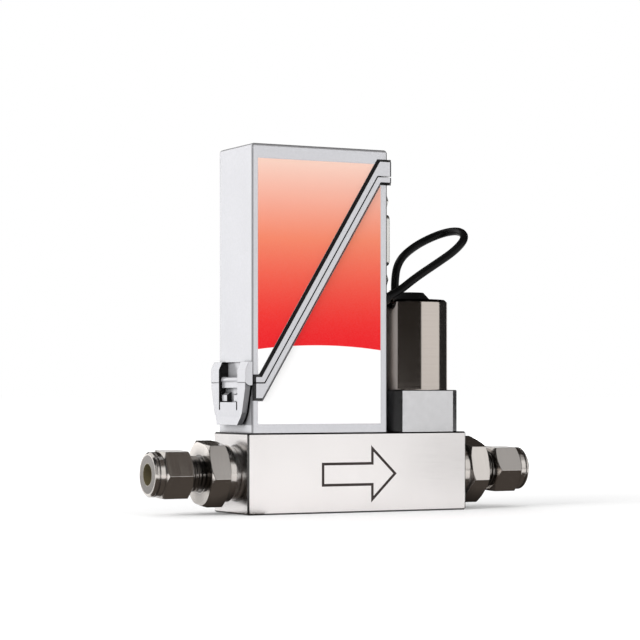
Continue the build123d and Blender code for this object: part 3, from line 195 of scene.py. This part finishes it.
class StageSettings(bpy.types.PropertyGroup):
    floor: colour("Floor", "Colour of the floor", (0.93, 0.93, 0.93))
    sky: FloatProperty(name="Sky", description="Strength of the even light", default=0.7, min=0)
    key: FloatProperty(name="Key", description="Power of the key lamp", default=9.0, min=0, unit="POWER")
    fill: FloatProperty(name="Fill", description="Power of the fill lamp", default=1.8, min=0, unit="POWER")
    rear: FloatProperty(name="Rear", description="Power of the rear lamp", default=3.5, min=0, unit="POWER")


# ---------------------------------------------------------------- node helpers
def node(tree, kind, sockets=None, **settings):
    """A node with its settings, and values or links for its input sockets."""
    made = tree.nodes.new(kind)
    for key, value in settings.items():
        setattr(made, key, value)
    for key, value in (sockets or {}).items():
        if isinstance(value, NodeSocket):
            tree.links.new(value, made.inputs[key])
        else:
            made.inputs[key].default_value = value
    return made


def maths(tree, operation, first, second=0.0, third=0.0):
    """One step of arithmetic, as an output socket."""
    step = node(tree, "ShaderNodeMath", {0: first, 1: second, 2: third}, operation=operation)
    return step.outputs[0]


def spread(tree, value, low, high, out_low=0.0, out_high=1.0):
    """A value carried from one range to another and kept inside it."""
    sockets = {"Value": value, "From Min": low, "From Max": high, "To Min": out_low, "To Max": out_high}
    return node(tree, "ShaderNodeMapRange", sockets).outputs["Result"]


def blended(tree, factor, first, second):
    """Two colours mixed by a mask, as an output socket."""
    mix = node(tree, "ShaderNodeMix", {"Factor": factor}, data_type="RGBA")
    for socket, value in ((mix.inputs[6], first), (mix.inputs[7], second)):
        if isinstance(value, NodeSocket):
            tree.links.new(value, socket)
        else:
            socket.default_value = (*value[:3], 1)
    return mix.outputs[2]


def ramp(tree, factor, stops):
    """A colour ramp through (place, colour) stops, as an output socket."""
    made = node(tree, "ShaderNodeValToRGB", {"Fac": factor})
    elements = made.color_ramp.elements
    while len(elements) < len(stops):
        elements.new(0.5)
    for element, (place, shade) in zip(elements, stops):
        element.position = place
        element.color = (*shade, 1)
    return made.outputs["Color"]


def new_group(name, inputs, outputs):
    """An empty shader node group with its named sockets, and its two end nodes."""
    group = bpy.data.node_groups.new(name, "ShaderNodeTree")
    for socket, kind, default in inputs:
        made = group.interface.new_socket(socket, in_out="INPUT", socket_type=kind)
        if default is not None:
            made.default_value = default
    for socket, kind in outputs:
        group.interface.new_socket(socket, in_out="OUTPUT", socket_type=kind)
    return group, node(group, "NodeGroupInput").outputs, node(group, "NodeGroupOutput").inputs


def soft_edges_group():
    """Rounded shading of sharp edges, and a mask that is 1 along them."""
    group, given, out = new_group(
        "Soft edges",
        [("Radius", "NodeSocketFloat", 0.0003)],
        [("Normal", "NodeSocketVector"), ("Mask", "NodeSocketFloat")],
    )
    rounded = node(group, "ShaderNodeBevel", {"Radius": given["Radius"]}, samples=6)
    flat = node(group, "ShaderNodeNewGeometry")
    facing = node(
        group, "ShaderNodeVectorMath", {0: rounded.outputs[0], 1: flat.outputs["Normal"]},
        operation="DOT_PRODUCT",
    )
    group.links.new(rounded.outputs[0], out["Normal"])
    group.links.new(spread(group, facing.outputs["Value"], 0.985, 0.80), out["Mask"])
    return group


def grain_group():
    """Fine machining streaks drawn out along one axis: a mask and a bumped normal."""
    group, given, out = new_group(
        "Machining grain",
        [
            ("Vector", "NodeSocketVector", None),
            ("Stretch", "NodeSocketVector", (1.0, 40.0, 40.0)),
            ("Scale", "NodeSocketFloat", 60.0),
            ("Depth", "NodeSocketFloat", 0.05),
            ("Normal", "NodeSocketVector", None),
        ],
        [("Mask", "NodeSocketFloat"), ("Normal", "NodeSocketVector")],
    )
    drawn = node(
        group, "ShaderNodeVectorMath", {0: given["Vector"], 1: given["Stretch"]}, operation="MULTIPLY"
    )
    streaks = node(
        group, "ShaderNodeTexNoise",
        {"Vector": drawn.outputs[0], "Scale": given["Scale"], "Detail": 5.0, "Roughness": 0.62},
    )
    bump = node(
        group, "ShaderNodeBump",
        {
            "Strength": given["Depth"], "Distance": 0.0002,
            "Height": streaks.outputs["Fac"], "Normal": given["Normal"],
        },
    )
    group.links.new(spread(group, streaks.outputs["Fac"], 0.3, 0.7), out["Mask"])
    group.links.new(bump.outputs[0], out["Normal"])
    return group


def speckle_group():
    """Pebbled skin of a casting or a moulding: a mask and a bumped normal."""
    group, given, out = new_group(
        "Cast skin",
        [
            ("Vector", "NodeSocketVector", None),
            ("Size", "NodeSocketFloat", 900.0),
            ("Depth", "NodeSocketFloat", 0.2),
            ("Normal", "NodeSocketVector", None),
        ],
        [("Mask", "NodeSocketFloat"), ("Normal", "NodeSocketVector")],
    )
    pebbles = node(
        group, "ShaderNodeTexNoise",
        {"Vector": given["Vector"], "Scale": given["Size"], "Detail": 3.0, "Roughness": 0.7},
    )
    pits = node(
        group, "ShaderNodeTexVoronoi", {"Vector": given["Vector"], "Scale": given["Size"]}
    )
    height = maths(group, "MULTIPLY_ADD", pits.outputs["Distance"], 0.35, pebbles.outputs["Fac"])
    bump = node(
        group, "ShaderNodeBump",
        {"Strength": given["Depth"], "Distance": 0.00015, "Height": height, "Normal": given["Normal"]},
    )
    group.links.new(spread(group, pebbles.outputs["Fac"], 0.32, 0.68), out["Mask"])
    group.links.new(bump.outputs[0], out["Normal"])
    return group


def cloud_group():
    """Slow variation over a whole piece, for handling marks and uneven gloss."""
    group, given, out = new_group(
        "Handling clouds",
        [("Vector", "NodeSocketVector", None), ("Scale", "NodeSocketFloat", 60.0)],
        [("Mask", "NodeSocketFloat")],
    )
    clouds = node(
        group, "ShaderNodeTexNoise",
        {"Vector": given["Vector"], "Scale": given["Scale"], "Detail": 2.0, "Distortion": 0.4},
    )
    group.links.new(spread(group, clouds.outputs["Fac"], 0.35, 0.65), out["Mask"])
    return group


def slant_group():
    """Masks by which way a face looks: bevels to front or rear, chamfers, flanks and crowns. The finishes
    paint dark reflection and shade through the bevel, chamfer and flank masks.
    """
    group, given, out = new_group(
        "Slanted faces",
        [("Normal", "NodeSocketVector", None), ("Vector", "NodeSocketVector", None)],
        [
            ("Bevels", "NodeSocketFloat"), ("Chamfers", "NodeSocketFloat"),
            ("Flanks", "NodeSocketFloat"), ("Inner flanks", "NodeSocketFloat"),
            ("Crowns", "NodeSocketFloat"),
        ],
    )
    size = node(group, "ShaderNodeVectorMath", {0: given["Normal"]}, operation="ABSOLUTE").outputs[0]
    split = node(group, "ShaderNodeSeparateXYZ", {"Vector": size}).outputs
    rising = spread(group, split["Y"], 0.25, 0.45)
    falling = spread(group, split["Y"], 0.92, 0.82)
    group.links.new(maths(group, "MULTIPLY", rising, falling), out["Bevels"])
    largest = maths(group, "MAXIMUM", maths(group, "MAXIMUM", split["X"], split["Y"]), split["Z"])
    group.links.new(spread(group, largest, 0.97, 0.90), out["Chamfers"])
    facing = node(group, "ShaderNodeSeparateXYZ", {"Vector": given["Normal"]}).outputs
    group.links.new(spread(group, facing["Z"], 0.12, 0.4), out["Crowns"])
    flank = spread(group, facing["Y"], -0.5, -0.7)
    group.links.new(flank, out["Flanks"])
    depth = node(group, "ShaderNodeSeparateXYZ", {"Vector": given["Vector"]}).outputs
    behind = spread(group, depth["Y"], 0.0, 1.0 * MM)
    group.links.new(maths(group, "MULTIPLY", flank, behind), out["Inner flanks"])
    return group


def turned_group():
    """Masks round the flow axis, for bores, threaded necks and end faces, and the necks' bump; the fittings
    paint highlight and shade through them.
    """
    group, given, out = new_group(
        "Turned zones",
        [("Vector", "NodeSocketVector", None), ("Normal", "NodeSocketVector", None)],
        [
            ("Bore", "NodeSocketFloat"), ("Neck", "NodeSocketFloat"), ("Ends", "NodeSocketFloat"),
            ("Normal", "NodeSocketVector"),
        ],
    )
    from_axis = node(
        group, "ShaderNodeVectorMath", {0: given["Vector"], 1: (0, 0, FLOW_HEIGHT)}, operation="SUBTRACT"
    )
    across = node(
        group, "ShaderNodeVectorMath", {0: from_axis.outputs[0], 1: (0, 1, 1)}, operation="MULTIPLY"
    )
    radius = node(
        group, "ShaderNodeVectorMath", {0: across.outputs[0]}, operation="LENGTH"
    ).outputs["Value"]
    bore = spread(group, radius, SOCKET_RADIUS + 0.15 * MM, SOCKET_RADIUS)
    neck = maths(group, "SUBTRACT", spread(group, radius, NECK_RADIUS + 0.2 * MM, NECK_RADIUS), bore)
    along = node(group, "ShaderNodeSeparateXYZ", {"Vector": given["Vector"]}).outputs["X"]
    turns = maths(group, "SINE", maths(group, "MULTIPLY", along, 2 * pi / THREAD_PITCH))
    bump = node(
        group, "ShaderNodeBump",
        {
            "Strength": 0.9, "Distance": THREAD_DEPTH, "Height": maths(group, "MULTIPLY", turns, neck),
            "Normal": given["Normal"],
        },
    )
    group.links.new(bore, out["Bore"])
    group.links.new(neck, out["Neck"])
    facing = node(group, "ShaderNodeSeparateXYZ", {"Vector": given["Normal"]}).outputs["X"]
    ends = spread(group, maths(group, "ABSOLUTE", facing), 0.96, 0.985)
    group.links.new(ends, out["Ends"])
    group.links.new(bump.outputs[0], out["Normal"])
    return group


def recess_group():
    """1 in the open and 0 deep in a gap or a corner."""
    group, given, out = new_group(
        "Recess shade", [("Reach", "NodeSocketFloat", 0.003)], [("Openness", "NodeSocketFloat")]
    )
    open_share = node(
        group, "ShaderNodeAmbientOcclusion", {"Distance": given["Reach"]}, samples=8
    ).outputs["AO"]
    group.links.new(spread(group, open_share, 0.15, 0.75), out["Openness"])
    return group


GROUPS = (
    soft_edges_group, grain_group, speckle_group, cloud_group, slant_group, turned_group, recess_group
)


def placed(tree, group, sockets):
    """One of the shared groups inside a material, with its own values."""
    return node(tree, "ShaderNodeGroup", sockets, node_tree=bpy.data.node_groups[group]).outputs


def new_material(name, sockets):
    """A material with its Principled shader's plain values, its tree and its object coordinates."""
    material = bpy.data.materials.new(name)
    material.use_nodes = True
    tree = material.node_tree
    tree.nodes.clear()
    shader = node(tree, "ShaderNodeBsdfPrincipled", sockets)
    surface = node(tree, "ShaderNodeOutputMaterial")
    tree.links.new(shader.outputs[0], surface.inputs["Surface"])
    place = node(tree, "ShaderNodeTexCoord").outputs["Object"]
    return material, tree, shader, place


def slants(tree, place):
    """The masks of slanted faces in a material."""
    own_normal = node(tree, "ShaderNodeTexCoord").outputs["Normal"]
    return placed(tree, "Slanted faces", {"Normal": own_normal, "Vector": place})


def join(tree, shader, **links):
    """Link sockets into the shader by name; an underscore stands for a space."""
    for key, socket in links.items():
        tree.links.new(socket, shader.inputs[key.replace("_", " ")])


def shade_of(tone, factor):
    """A colour made lighter or darker."""
    return tuple(min(1.0, part * factor) for part in tone)


# ---------------------------------------------------------------- finishes
def brushed_steel(
    name, tone, stretch, roughness, contrast=0.06, scale=60.0, edge=0.5, radius=0.3 * MM, depth=0.04,
    edge_shade=0.25, chamfer=0.0, turned=False,
):
    """Machined or satin steel with streaks along one axis, painted shade or painted highlight along its
    edges as edge_shade is below or above 1, and painted dark reflection on its chamfers.
    """
    material, tree, shader, place = new_material(name, {"Metallic": 1.0})
    edges = placed(tree, "Soft edges", {"Radius": radius})
    grain = placed(
        tree, "Machining grain",
        {"Vector": place, "Stretch": stretch, "Scale": scale, "Depth": depth, "Normal": edges["Normal"]},
    )
    clouds = placed(tree, "Handling clouds", {"Vector": place, "Scale": 45.0})["Mask"]
    streaked = blended(
        tree, grain["Mask"], shade_of(tone, 1 - contrast), shade_of(tone, 1 + contrast)
    )
    clouded = blended(tree, maths(tree, "MULTIPLY", clouds, 0.25), streaked, shade_of(tone, 0.88))
    # Edges painted darker as shade, or lighter as a painted highlight when edge_shade is above 1.
    toned = blended(
        tree, maths(tree, "MULTIPLY", edges["Mask"], edge), clouded, shade_of(tone, edge_shade)
    )
    # Chamfers painted near black as a dark reflection.
    if chamfer:
        aslant = maths(tree, "MULTIPLY", slants(tree, place)["Chamfers"], chamfer)
        toned = blended(tree, aslant, toned, shade_of(tone, 0.03))
    rough = maths(tree, "MULTIPLY_ADD", grain["Mask"], roughness * 0.4, roughness * 0.8)
    rough = maths(tree, "MULTIPLY_ADD", clouds, 0.03, rough)
    normal = grain["Normal"]
    if turned:
        zones = placed(tree, "Turned zones", {"Vector": place, "Normal": normal})
        openness = placed(tree, "Recess shade", {"Reach": COLLAR_SHADE_REACH})["Openness"]
        # Painted highlight on the end faces, and painted shade near the block, in the threaded necks and
        # inside the bores.
        toned = blended(tree, zones["Ends"], toned, shade_of(tone, 1.5))
        toned = blended(tree, openness, shade_of(tone, 0.1), toned)
        toned = blended(tree, maths(tree, "MULTIPLY", zones["Neck"], 0.7), toned, shade_of(tone, 0.15))
        toned = blended(tree, zones["Bore"], toned, BORE_PAINTED_SHADE)
        rough = maths(tree, "MULTIPLY_ADD", zones["Bore"], 0.4, rough)
        metal = maths(tree, "SUBTRACT", 1.0, zones["Bore"])
        join(tree, shader, Metallic=metal)
        normal = zones["Normal"]
    join(tree, shader, Base_Color=toned, Roughness=rough, Normal=normal)
    return material


def cast_silver(name, tone, flank=0.0, bevel=0.97, edge=0.6, reach=2.5 * MM):
    """Silver die casting: pebbled and part metallic, with painted dark reflection on its edges, front-left
    corner and bevels, and painted shade on its flanks and in its recesses.
    """
    material, tree, shader, place = new_material(name, {"Metallic": 0.6})
    edges = placed(tree, "Soft edges", {"Radius": 0.0002})
    skin = placed(
        tree, "Cast skin", {"Vector": place, "Size": 1500.0, "Depth": 0.02, "Normal": edges["Normal"]}
    )
    clouds = placed(tree, "Handling clouds", {"Vector": place, "Scale": 70.0})["Mask"]
    speckled = blended(tree, skin["Mask"], shade_of(tone, 0.96), shade_of(tone, 1.04))
    clouded = blended(tree, maths(tree, "MULTIPLY", clouds, 0.3), speckled, shade_of(tone, 0.92))
    # Painted dark reflection along the casting's edges.
    edged = blended(tree, maths(tree, "MULTIPLY", edges["Mask"], edge), clouded, shade_of(tone, 0.15))
    split = node(tree, "ShaderNodeSeparateXYZ", {"Vector": place}).outputs
    # A painted dark reflection line down the housing's front-left vertical corner.
    past_left = spread(tree, split["X"], HOUSING_LEFT - 0.2 * MM, HOUSING_LEFT - 0.1 * MM)
    near_left = spread(tree, split["X"], HOUSING_LEFT + 0.45 * MM, HOUSING_LEFT + 0.3 * MM)
    near_front = spread(tree, split["Y"], HOUSING_FRONT + 0.9 * MM, HOUSING_FRONT + 0.7 * MM)
    corner = maths(tree, "MULTIPLY", maths(tree, "MULTIPLY", past_left, near_left), near_front)
    edged = blended(tree, maths(tree, "MULTIPLY", corner, 0.6), edged, shade_of(tone, 0.15))
    masks = slants(tree, place)
    # Painted shade on the flanks that face the front.
    flanked = blended(tree, maths(tree, "MULTIPLY", masks["Flanks"], flank), edged, shade_of(tone, 0.1))
    # Painted dark reflection on the bevels, weaker just under the top, and on the front-facing inner flanks
    # of the rear half.
    brow = spread(tree, split["Z"], HOUSING_TOP - 1.2 * MM, HOUSING_TOP - 0.8 * MM, bevel, bevel * 0.4)
    black = maths(
        tree, "MAXIMUM", maths(tree, "MULTIPLY", masks["Bevels"], brow), masks["Inner flanks"]
    )
    bevelled = blended(tree, black, flanked, PAINTED_DARK_REFLECTION)
    # Painted shade deep in gaps and corners.
    openness = placed(tree, "Recess shade", {"Reach": reach})["Openness"]
    toned = blended(tree, openness, RECESS_PAINTED_SHADE, bevelled)
    join(
        tree, shader, Base_Color=toned,
        Roughness=maths(tree, "MULTIPLY_ADD", skin["Mask"], 0.06, 0.17), Normal=skin["Normal"],
    )
    return material


def moulded(name, tone, roughness, size=1800.0, depth=0.12, gloss=0.5):
    """Moulded plastic or rubber with a fine skin and slightly greyer edges."""
    material, tree, shader, place = new_material(name, {"Metallic": 0.0, "Specular IOR Level": gloss})
    edges = placed(tree, "Soft edges", {"Radius": 0.0003})
    skin = placed(
        tree, "Cast skin", {"Vector": place, "Size": size, "Depth": depth, "Normal": edges["Normal"]}
    )
    speckled = blended(tree, skin["Mask"], shade_of(tone, 0.8), shade_of(tone, 1.25))
    # Edges made a little greyer than the rest.
    edge_greyed = blended(
        tree, maths(tree, "MULTIPLY", edges["Mask"], 0.5), speckled, [part + 0.03 for part in tone]
    )
    join(
        tree, shader, Base_Color=edge_greyed,
        Roughness=maths(tree, "MULTIPLY_ADD", skin["Mask"], 0.12, roughness - 0.06),
        Normal=skin["Normal"],
    )
    return material


def coil_plating(name, tone):
    """Dark turned can: fine streaks round it, and a black crown."""
    material, tree, shader, place = new_material(name, {"Metallic": 1.0})
    edges = placed(tree, "Soft edges", {"Radius": 0.0004})
    centred = node(tree, "ShaderNodeMapping", {"Vector": place, "Location": [-c for c in COIL_AXIS]})
    grain = placed(
        tree, "Machining grain",
        {
            "Vector": centred.outputs[0], "Stretch": (1.0, 1.0, 60.0), "Scale": 40.0, "Depth": 0.006,
            "Normal": edges["Normal"],
        },
    )
    streaked = blended(tree, grain["Mask"], shade_of(tone, 0.98), shade_of(tone, 1.02))
    crown = maths(tree, "MULTIPLY", slants(tree, place)["Crowns"], 0.95)
    toned = blended(tree, crown, streaked, shade_of(tone, 0.03))
    join(
        tree, shader, Base_Color=toned,
        Roughness=maths(tree, "MULTIPLY_ADD", grain["Mask"], 0.03, 0.085), Normal=grain["Normal"],
    )
    return material


def printed_label(name):
    """Satin film: red at the foot of a fade that pales upwards, white below a shallow arc."""
    material, tree, shader, place = new_material(name, {"Specular IOR Level": 0.2})
    split = node(tree, "ShaderNodeSeparateXYZ", {"Vector": place}).outputs
    centre = (LABEL_LOW[0] + LABEL_HIGH[0]) / 2
    across = maths(tree, "SUBTRACT", split["X"], centre)
    bow = maths(tree, "MULTIPLY", maths(tree, "MULTIPLY", across, across), -ARC_BOW)
    edge = maths(tree, "ADD", bow, ARC_TOP)
    above = spread(tree, maths(tree, "SUBTRACT", split["Z"], edge), -ARC_BLUR, ARC_BLUR)
    fade = maths(tree, "POWER", spread(tree, split["Z"], FADE_FOOT, FADE_HEAD), FADE_POWER)
    tint = ramp(tree, fade, [(0.0, LABEL_RED), (0.38, LABEL_CORAL), (1.0, LABEL_PALE)])
    fibre = placed(tree, "Cast skin", {"Vector": place, "Size": 2500.0, "Depth": 0.02})
    paper = blended(tree, above, LABEL_PAPER, tint)
    shade = blended(tree, maths(tree, "MULTIPLY", fibre["Mask"], 0.03), paper, LABEL_DUST)
    join(
        tree, shader, Base_Color=shade, Normal=fibre["Normal"],
        Roughness=maths(tree, "MULTIPLY_ADD", fibre["Mask"], 0.06, 0.3),
    )
    return material


def finishes(settings):
    """Every finish by the record's slot name."""
    return {
        # The block and the valve base carry painted highlights on their edges and painted dark reflection
        # on their chamfers; the fittings carry the turned zones' painted highlight and shade.
        "block_steel": brushed_steel(
            "Block steel", settings.block, (1.0, 60.0, 60.0), 0.2, 0.02, depth=0.012,
            edge_shade=1.15, chamfer=0.9,
        ),
        "fitting_steel": brushed_steel(
            "Fitting steel", settings.fitting, (60.0, 3.0, 3.0), 0.14, 0.04, 30.0, 0.5, depth=0.01,
            turned=True,
        ),
        "bright_steel": brushed_steel("Bright steel", (0.70, 0.69, 0.67), (40.0, 4.0, 4.0), 0.28),
        "magnetic_steel": brushed_steel("Magnetic steel", (0.55, 0.55, 0.54), (4.0, 4.0, 60.0), 0.3),
        "spring_steel": brushed_steel("Spring steel", (0.6, 0.6, 0.6), (4.0, 4.0, 60.0), 0.3),
        "valve_base_steel": brushed_steel(
            "Valve base steel", (0.63, 0.625, 0.635), (8.0, 8.0, 8.0), 0.2, 0.06, depth=0.01,
            edge_shade=1.4, chamfer=0.95,
        ),
        "plated_shell": brushed_steel("Plated shell", (0.72, 0.71, 0.68), (4.0, 4.0, 4.0), 0.25),
        "gold_contact": brushed_steel("Gold contact", (0.85, 0.62, 0.28), (4.0, 4.0, 4.0), 0.2),
        "copper_wire": brushed_steel("Copper wire", (0.72, 0.33, 0.16), (4.0, 4.0, 200.0), 0.3, 0.2),
        "housing_casting": cast_silver("Housing casting", settings.casting),
        "coil_shell": coil_plating("Coil plating", settings.coil),
        "black_plastic": moulded("Black moulding", settings.moulding, 0.42, gloss=0.15),
        "seal_rubber": moulded("Seal rubber", (0.03, 0.03, 0.03), 0.55),
        "cable_jacket": moulded("Cable jacket", settings.jacket, 0.3, 2600.0, 0.02, 0.12),
        "board_laminate": moulded("Board laminate", (0.02, 0.12, 0.05), 0.35),
        "label_film": printed_label("Label film"),
    }


def dress_nodes(slots, own):
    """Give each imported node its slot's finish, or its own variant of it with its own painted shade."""
    for part in frame["record"]["subparts"]:
        target = frame["nodes"][part["node"]]
        target.data.materials.clear()
        target.data.materials.append(own.get(part["node"]) or slots[part["material_slot"]])


# ---------------------------------------------------------------- pieces
def finished_piece(name, mesh_work, material):
    """Turn a bmesh into a piece at the origin that rides on the instrument."""
    mesh = bpy.data.meshes.new(name)
    mesh_work.to_mesh(mesh)
    mesh_work.free()
    mesh.materials.append(material)
    piece = bpy.data.objects.new(name, mesh)
    bpy.context.scene.collection.objects.link(piece)
    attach(piece, "instrument")
    return piece


class MESH_OT_controller_finishes(bpy.types.Operator):
    """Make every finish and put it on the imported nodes"""

    bl_idname = "mesh.controller_finishes"
    bl_label = "Finishes"

    def execute(self, context):
        for build in GROUPS:
            build()
        settings = context.scene.controller_finish
        # Copies of the casting that differ in painted shade: the lever with painted shade on its flanks,
        # weaker painted edges and no painted bevel reflection, the base with painted recess shade over a
        # wider reach.
        own = {
            "latch_lever": cast_silver("Latch casting", settings.casting, 0.8, 0.0, 0.3),
            "housing_base": cast_silver("Base casting", settings.casting, reach=6 * MM),
        }
        dress_nodes(finishes(settings), own)
        return {"FINISHED"}


class MESH_OT_controller_spring(bpy.types.Operator):
    """Make the return spring as a welded copy of the imported one, riding on the instrument"""

    bl_idname = "mesh.controller_spring"
    bl_label = "Return spring"

    def execute(self, context):
        packed = frame["nodes"]["plunger_spring"]
        work = bmesh.new()
        work.from_mesh(packed.data)
        bmesh.ops.remove_doubles(work, verts=work.verts, dist=0.001 * MM)
        spring = finished_piece("return_spring", work, packed.data.materials[0])
        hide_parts("plunger_spring")
        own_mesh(spring)
        return {"FINISHED"}


class MESH_OT_controller_arrow(bpy.types.Operator):
    """Add the outlined flow arrow on the block's front"""

    bl_idname = "mesh.controller_arrow"
    bl_label = "Flow arrow"

    def execute(self, context):
        size = context.scene.controller_arrow
        outline = [
            (-size.tail, -size.shaft), (size.neck, -size.shaft), (size.neck, -size.head),
            (size.tip, 0), (size.neck, size.head), (size.neck, size.shaft), (-size.tail, size.shaft),
        ]
        work = bmesh.new()
        front = BLOCK_LOW[1] - ARROW_PROUD
        corners = [work.verts.new((x, front, ARROW_HEIGHT + z)) for x, z in outline]
        face = work.faces.new(corners)
        work.normal_update()
        bmesh.ops.inset_region(
            work, faces=[face], thickness=size.line, use_boundary=True, use_even_offset=True
        )
        bmesh.ops.delete(work, geom=[face], context="FACES_ONLY")
        raised = bmesh.ops.extrude_face_region(work, geom=work.faces[:])
        moved = [item for item in raised["geom"] if isinstance(item, bmesh.types.BMVert)]
        bmesh.ops.translate(work, verts=moved, vec=(0, ARROW_THICK, 0))
        bmesh.ops.recalc_face_normals(work, faces=work.faces)
        ink = moulded("Arrow line", size.ink, 0.5)
        finished_piece("flow_arrow", work, ink)
        return {"FINISHED"}


class CURVE_OT_controller_cable(bpy.types.Operator):
    """Add the valve cable that loops from the coil's cap to the housing"""

    bl_idname = "curve.controller_cable"
    bl_label = "Valve cable"

    def execute(self, context):
        size = context.scene.controller_cable
        curve = bpy.data.curves.new("valve_cable_line", "CURVE")
        curve.dimensions = "3D"
        curve.bevel_depth = size.diameter / 2
        curve.bevel_resolution = 8
        curve.use_fill_caps = True
        curve.resolution_u = 16
        line = curve.splines.new("NURBS")
        line.points.add(len(CABLE_ROUTE) - 1)
        for point, place in zip(line.points, CABLE_ROUTE):
            point.co = (*place, 1)
        line.order_u = 3
        line.use_endpoint_u = True
        curve.materials.append(bpy.data.materials["Cable jacket"])
        cable = bpy.data.objects.new("valve_cable_jacket", curve)
        context.scene.collection.objects.link(cable)
        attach(cable, "instrument")
        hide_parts("valve_cable")
        return {"FINISHED"}


# ---------------------------------------------------------------- studio
def lamp(name, place, size, power):
    """A soft lamp that lights the part and isn't mirrored in it."""
    data = bpy.data.lights.new(name, "AREA")
    data.shape = "RECTANGLE"
    data.size, data.size_y = size
    data.energy = power
    made = bpy.data.objects.new(name, data)
    made.location = place
    made.rotation_euler = (Vector(LAMP_TARGET) - Vector(place)).to_track_quat("-Z", "Y").to_euler()
    made.visible_glossy = False
    bpy.context.scene.collection.objects.link(made)


def card(name, start, end, low, high, inner, outer, glow, tint):
    """A card round the object that only reflections see: a wall, or a ring when its ends are level."""
    work = bmesh.new()
    ends = [work.verts.new((inner, 0, low)), work.verts.new((outer, 0, high))]
    bmesh.ops.rotate(work, verts=ends, cent=(0, 0, 0), matrix=Matrix.Rotation(radians(start), 3, "Z"))
    edge = work.edges.new(ends)
    bmesh.ops.spin(
        work, geom=[*ends, edge], cent=(0, 0, 0), axis=(0, 0, 1), angle=radians(end - start), steps=24
    )
    mesh = bpy.data.meshes.new(name)
    work.to_mesh(mesh)
    work.free()
    plain = {
        "Base Color": (0, 0, 0, 1), "Roughness": 1.0, "Specular IOR Level": 0.0,
        "Emission Color": (*tint, 1), "Emission Strength": glow,
    }
    mesh.materials.append(new_material(name.capitalize(), plain)[0])
    made = bpy.data.objects.new(name, mesh)
    made.visible_camera = made.visible_diffuse = made.visible_shadow = False
    bpy.context.scene.collection.objects.link(made)


class SCENE_OT_controller_stage(bpy.types.Operator):
    """Set up the camera, floor, sky and lamps"""

    bl_idname = "scene.controller_stage"
    bl_label = "Studio"

    def execute(self, context):
        scene = context.scene
        size = scene.controller_stage
        scene.view_settings.view_transform = "Standard"

        view = bpy.data.cameras.new("camera")
        view.sensor_width = CAMERA_SENSOR
        view.lens = CAMERA_LENS
        view.shift_y = CAMERA_SHIFT
        view.clip_start = 0.01
        view.clip_end = 100
        camera = bpy.data.objects.new("camera", view)
        camera.location = CAMERA_PLACE
        camera.rotation_euler = (radians(90), 0, radians(CAMERA_TURN))
        scene.collection.objects.link(camera)
        scene.camera = camera

        world = bpy.data.worlds.new("studio")
        world.use_nodes = True
        scene.world = world
        tree = world.node_tree
        tree.nodes.clear()
        path = node(tree, "ShaderNodeLightPath").outputs
        seen = maths(tree, "MAXIMUM", path["Is Camera Ray"], path["Is Glossy Ray"])
        seen = maths(tree, "MAXIMUM", seen, path["Is Transmission Ray"])
        light = node(tree, "ShaderNodeBackground", {"Color": (1, 1, 1, 1), "Strength": size.sky})
        white = node(tree, "ShaderNodeBackground", {"Color": (1, 1, 1, 1), "Strength": 1.0})
        sky = node(tree, "ShaderNodeMixShader", {0: seen, 1: light.outputs[0], 2: white.outputs[0]})
        out = node(tree, "ShaderNodeOutputWorld")
        tree.links.new(sky.outputs[0], out.inputs["Surface"])

        work = bmesh.new()
        bmesh.ops.create_grid(work, x_segments=1, y_segments=1, size=15)
        mesh = bpy.data.meshes.new("floor")
        work.to_mesh(mesh)
        work.free()
        floor = bpy.data.objects.new("floor", mesh)
        floor.location = (0, 0, -FLOOR_DROP)
        scene.collection.objects.link(floor)
        plain = {
            "Base Color": (*size.floor, 1), "Roughness": 0.8, "Specular IOR Level": 0.0,
            "Emission Color": (1, 1, 1, 1),
        }
        material, tree, shader, place = new_material("Floor", plain)
        path = node(tree, "ShaderNodeLightPath").outputs
        mirrored = maths(tree, "MULTIPLY", path["Is Glossy Ray"], FLOOR_MIRRORED)
        reach = node(tree, "ShaderNodeVectorMath", {0: place}, operation="LENGTH").outputs["Value"]
        white = spread(tree, reach, FLOOR_NEAR[0], FLOOR_FAR[0], FLOOR_NEAR[1], FLOOR_FAR[1])
        lift = maths(tree, "MULTIPLY_ADD", path["Is Camera Ray"], white, mirrored)
        tree.links.new(lift, shader.inputs["Emission Strength"])
        mesh.materials.append(material)

        for row in CARDS:
            card(*row)
        for name, place, spans in LAMPS:
            lamp(name, place, spans, getattr(size, name))
        return {"FINISHED"}


class VIEW3D_PT_controller(bpy.types.Panel):
    bl_label = "Mass Flow Controller"
    bl_idname = "VIEW3D_PT_controller"
    bl_space_type = "VIEW_3D"
    bl_region_type = "UI"
    bl_category = "Flow Controller"

    def draw(self, context):
        for name in SETTINGS:
            settings = getattr(context.scene, name)
            box = self.layout.box()
            for key in settings.__annotations__:
                box.prop(settings, key)
        for operator in OPERATORS:
            self.layout.operator(operator.bl_idname)


SETTINGS = {
    "controller_finish": FinishSettings,
    "controller_arrow": ArrowSettings,
    "controller_cable": CableSettings,
    "controller_stage": StageSettings,
}
OPERATORS = (
    MESH_OT_controller_finishes,
    MESH_OT_controller_spring,
    MESH_OT_controller_arrow,
    CURVE_OT_controller_cable,
    SCENE_OT_controller_stage,
)


def register():
    for made in (*SETTINGS.values(), *OPERATORS, VIEW3D_PT_controller):
        bpy.utils.register_class(made)
    for name, group in SETTINGS.items():
        setattr(bpy.types.Scene, name, PointerProperty(type=group))


def unregister():
    for name in SETTINGS:
        delattr(bpy.types.Scene, name)
    for made in reversed((*SETTINGS.values(), *OPERATORS, VIEW3D_PT_controller)):
        bpy.utils.unregister_class(made)


def main():
    """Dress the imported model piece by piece."""
    register()
    bpy.ops.mesh.controller_finishes()
    bpy.ops.mesh.controller_spring()
    bpy.ops.mesh.controller_arrow()
    bpy.ops.curve.controller_cable()
    bpy.ops.scene.controller_stage()


if __name__ == "__main__":
    main()
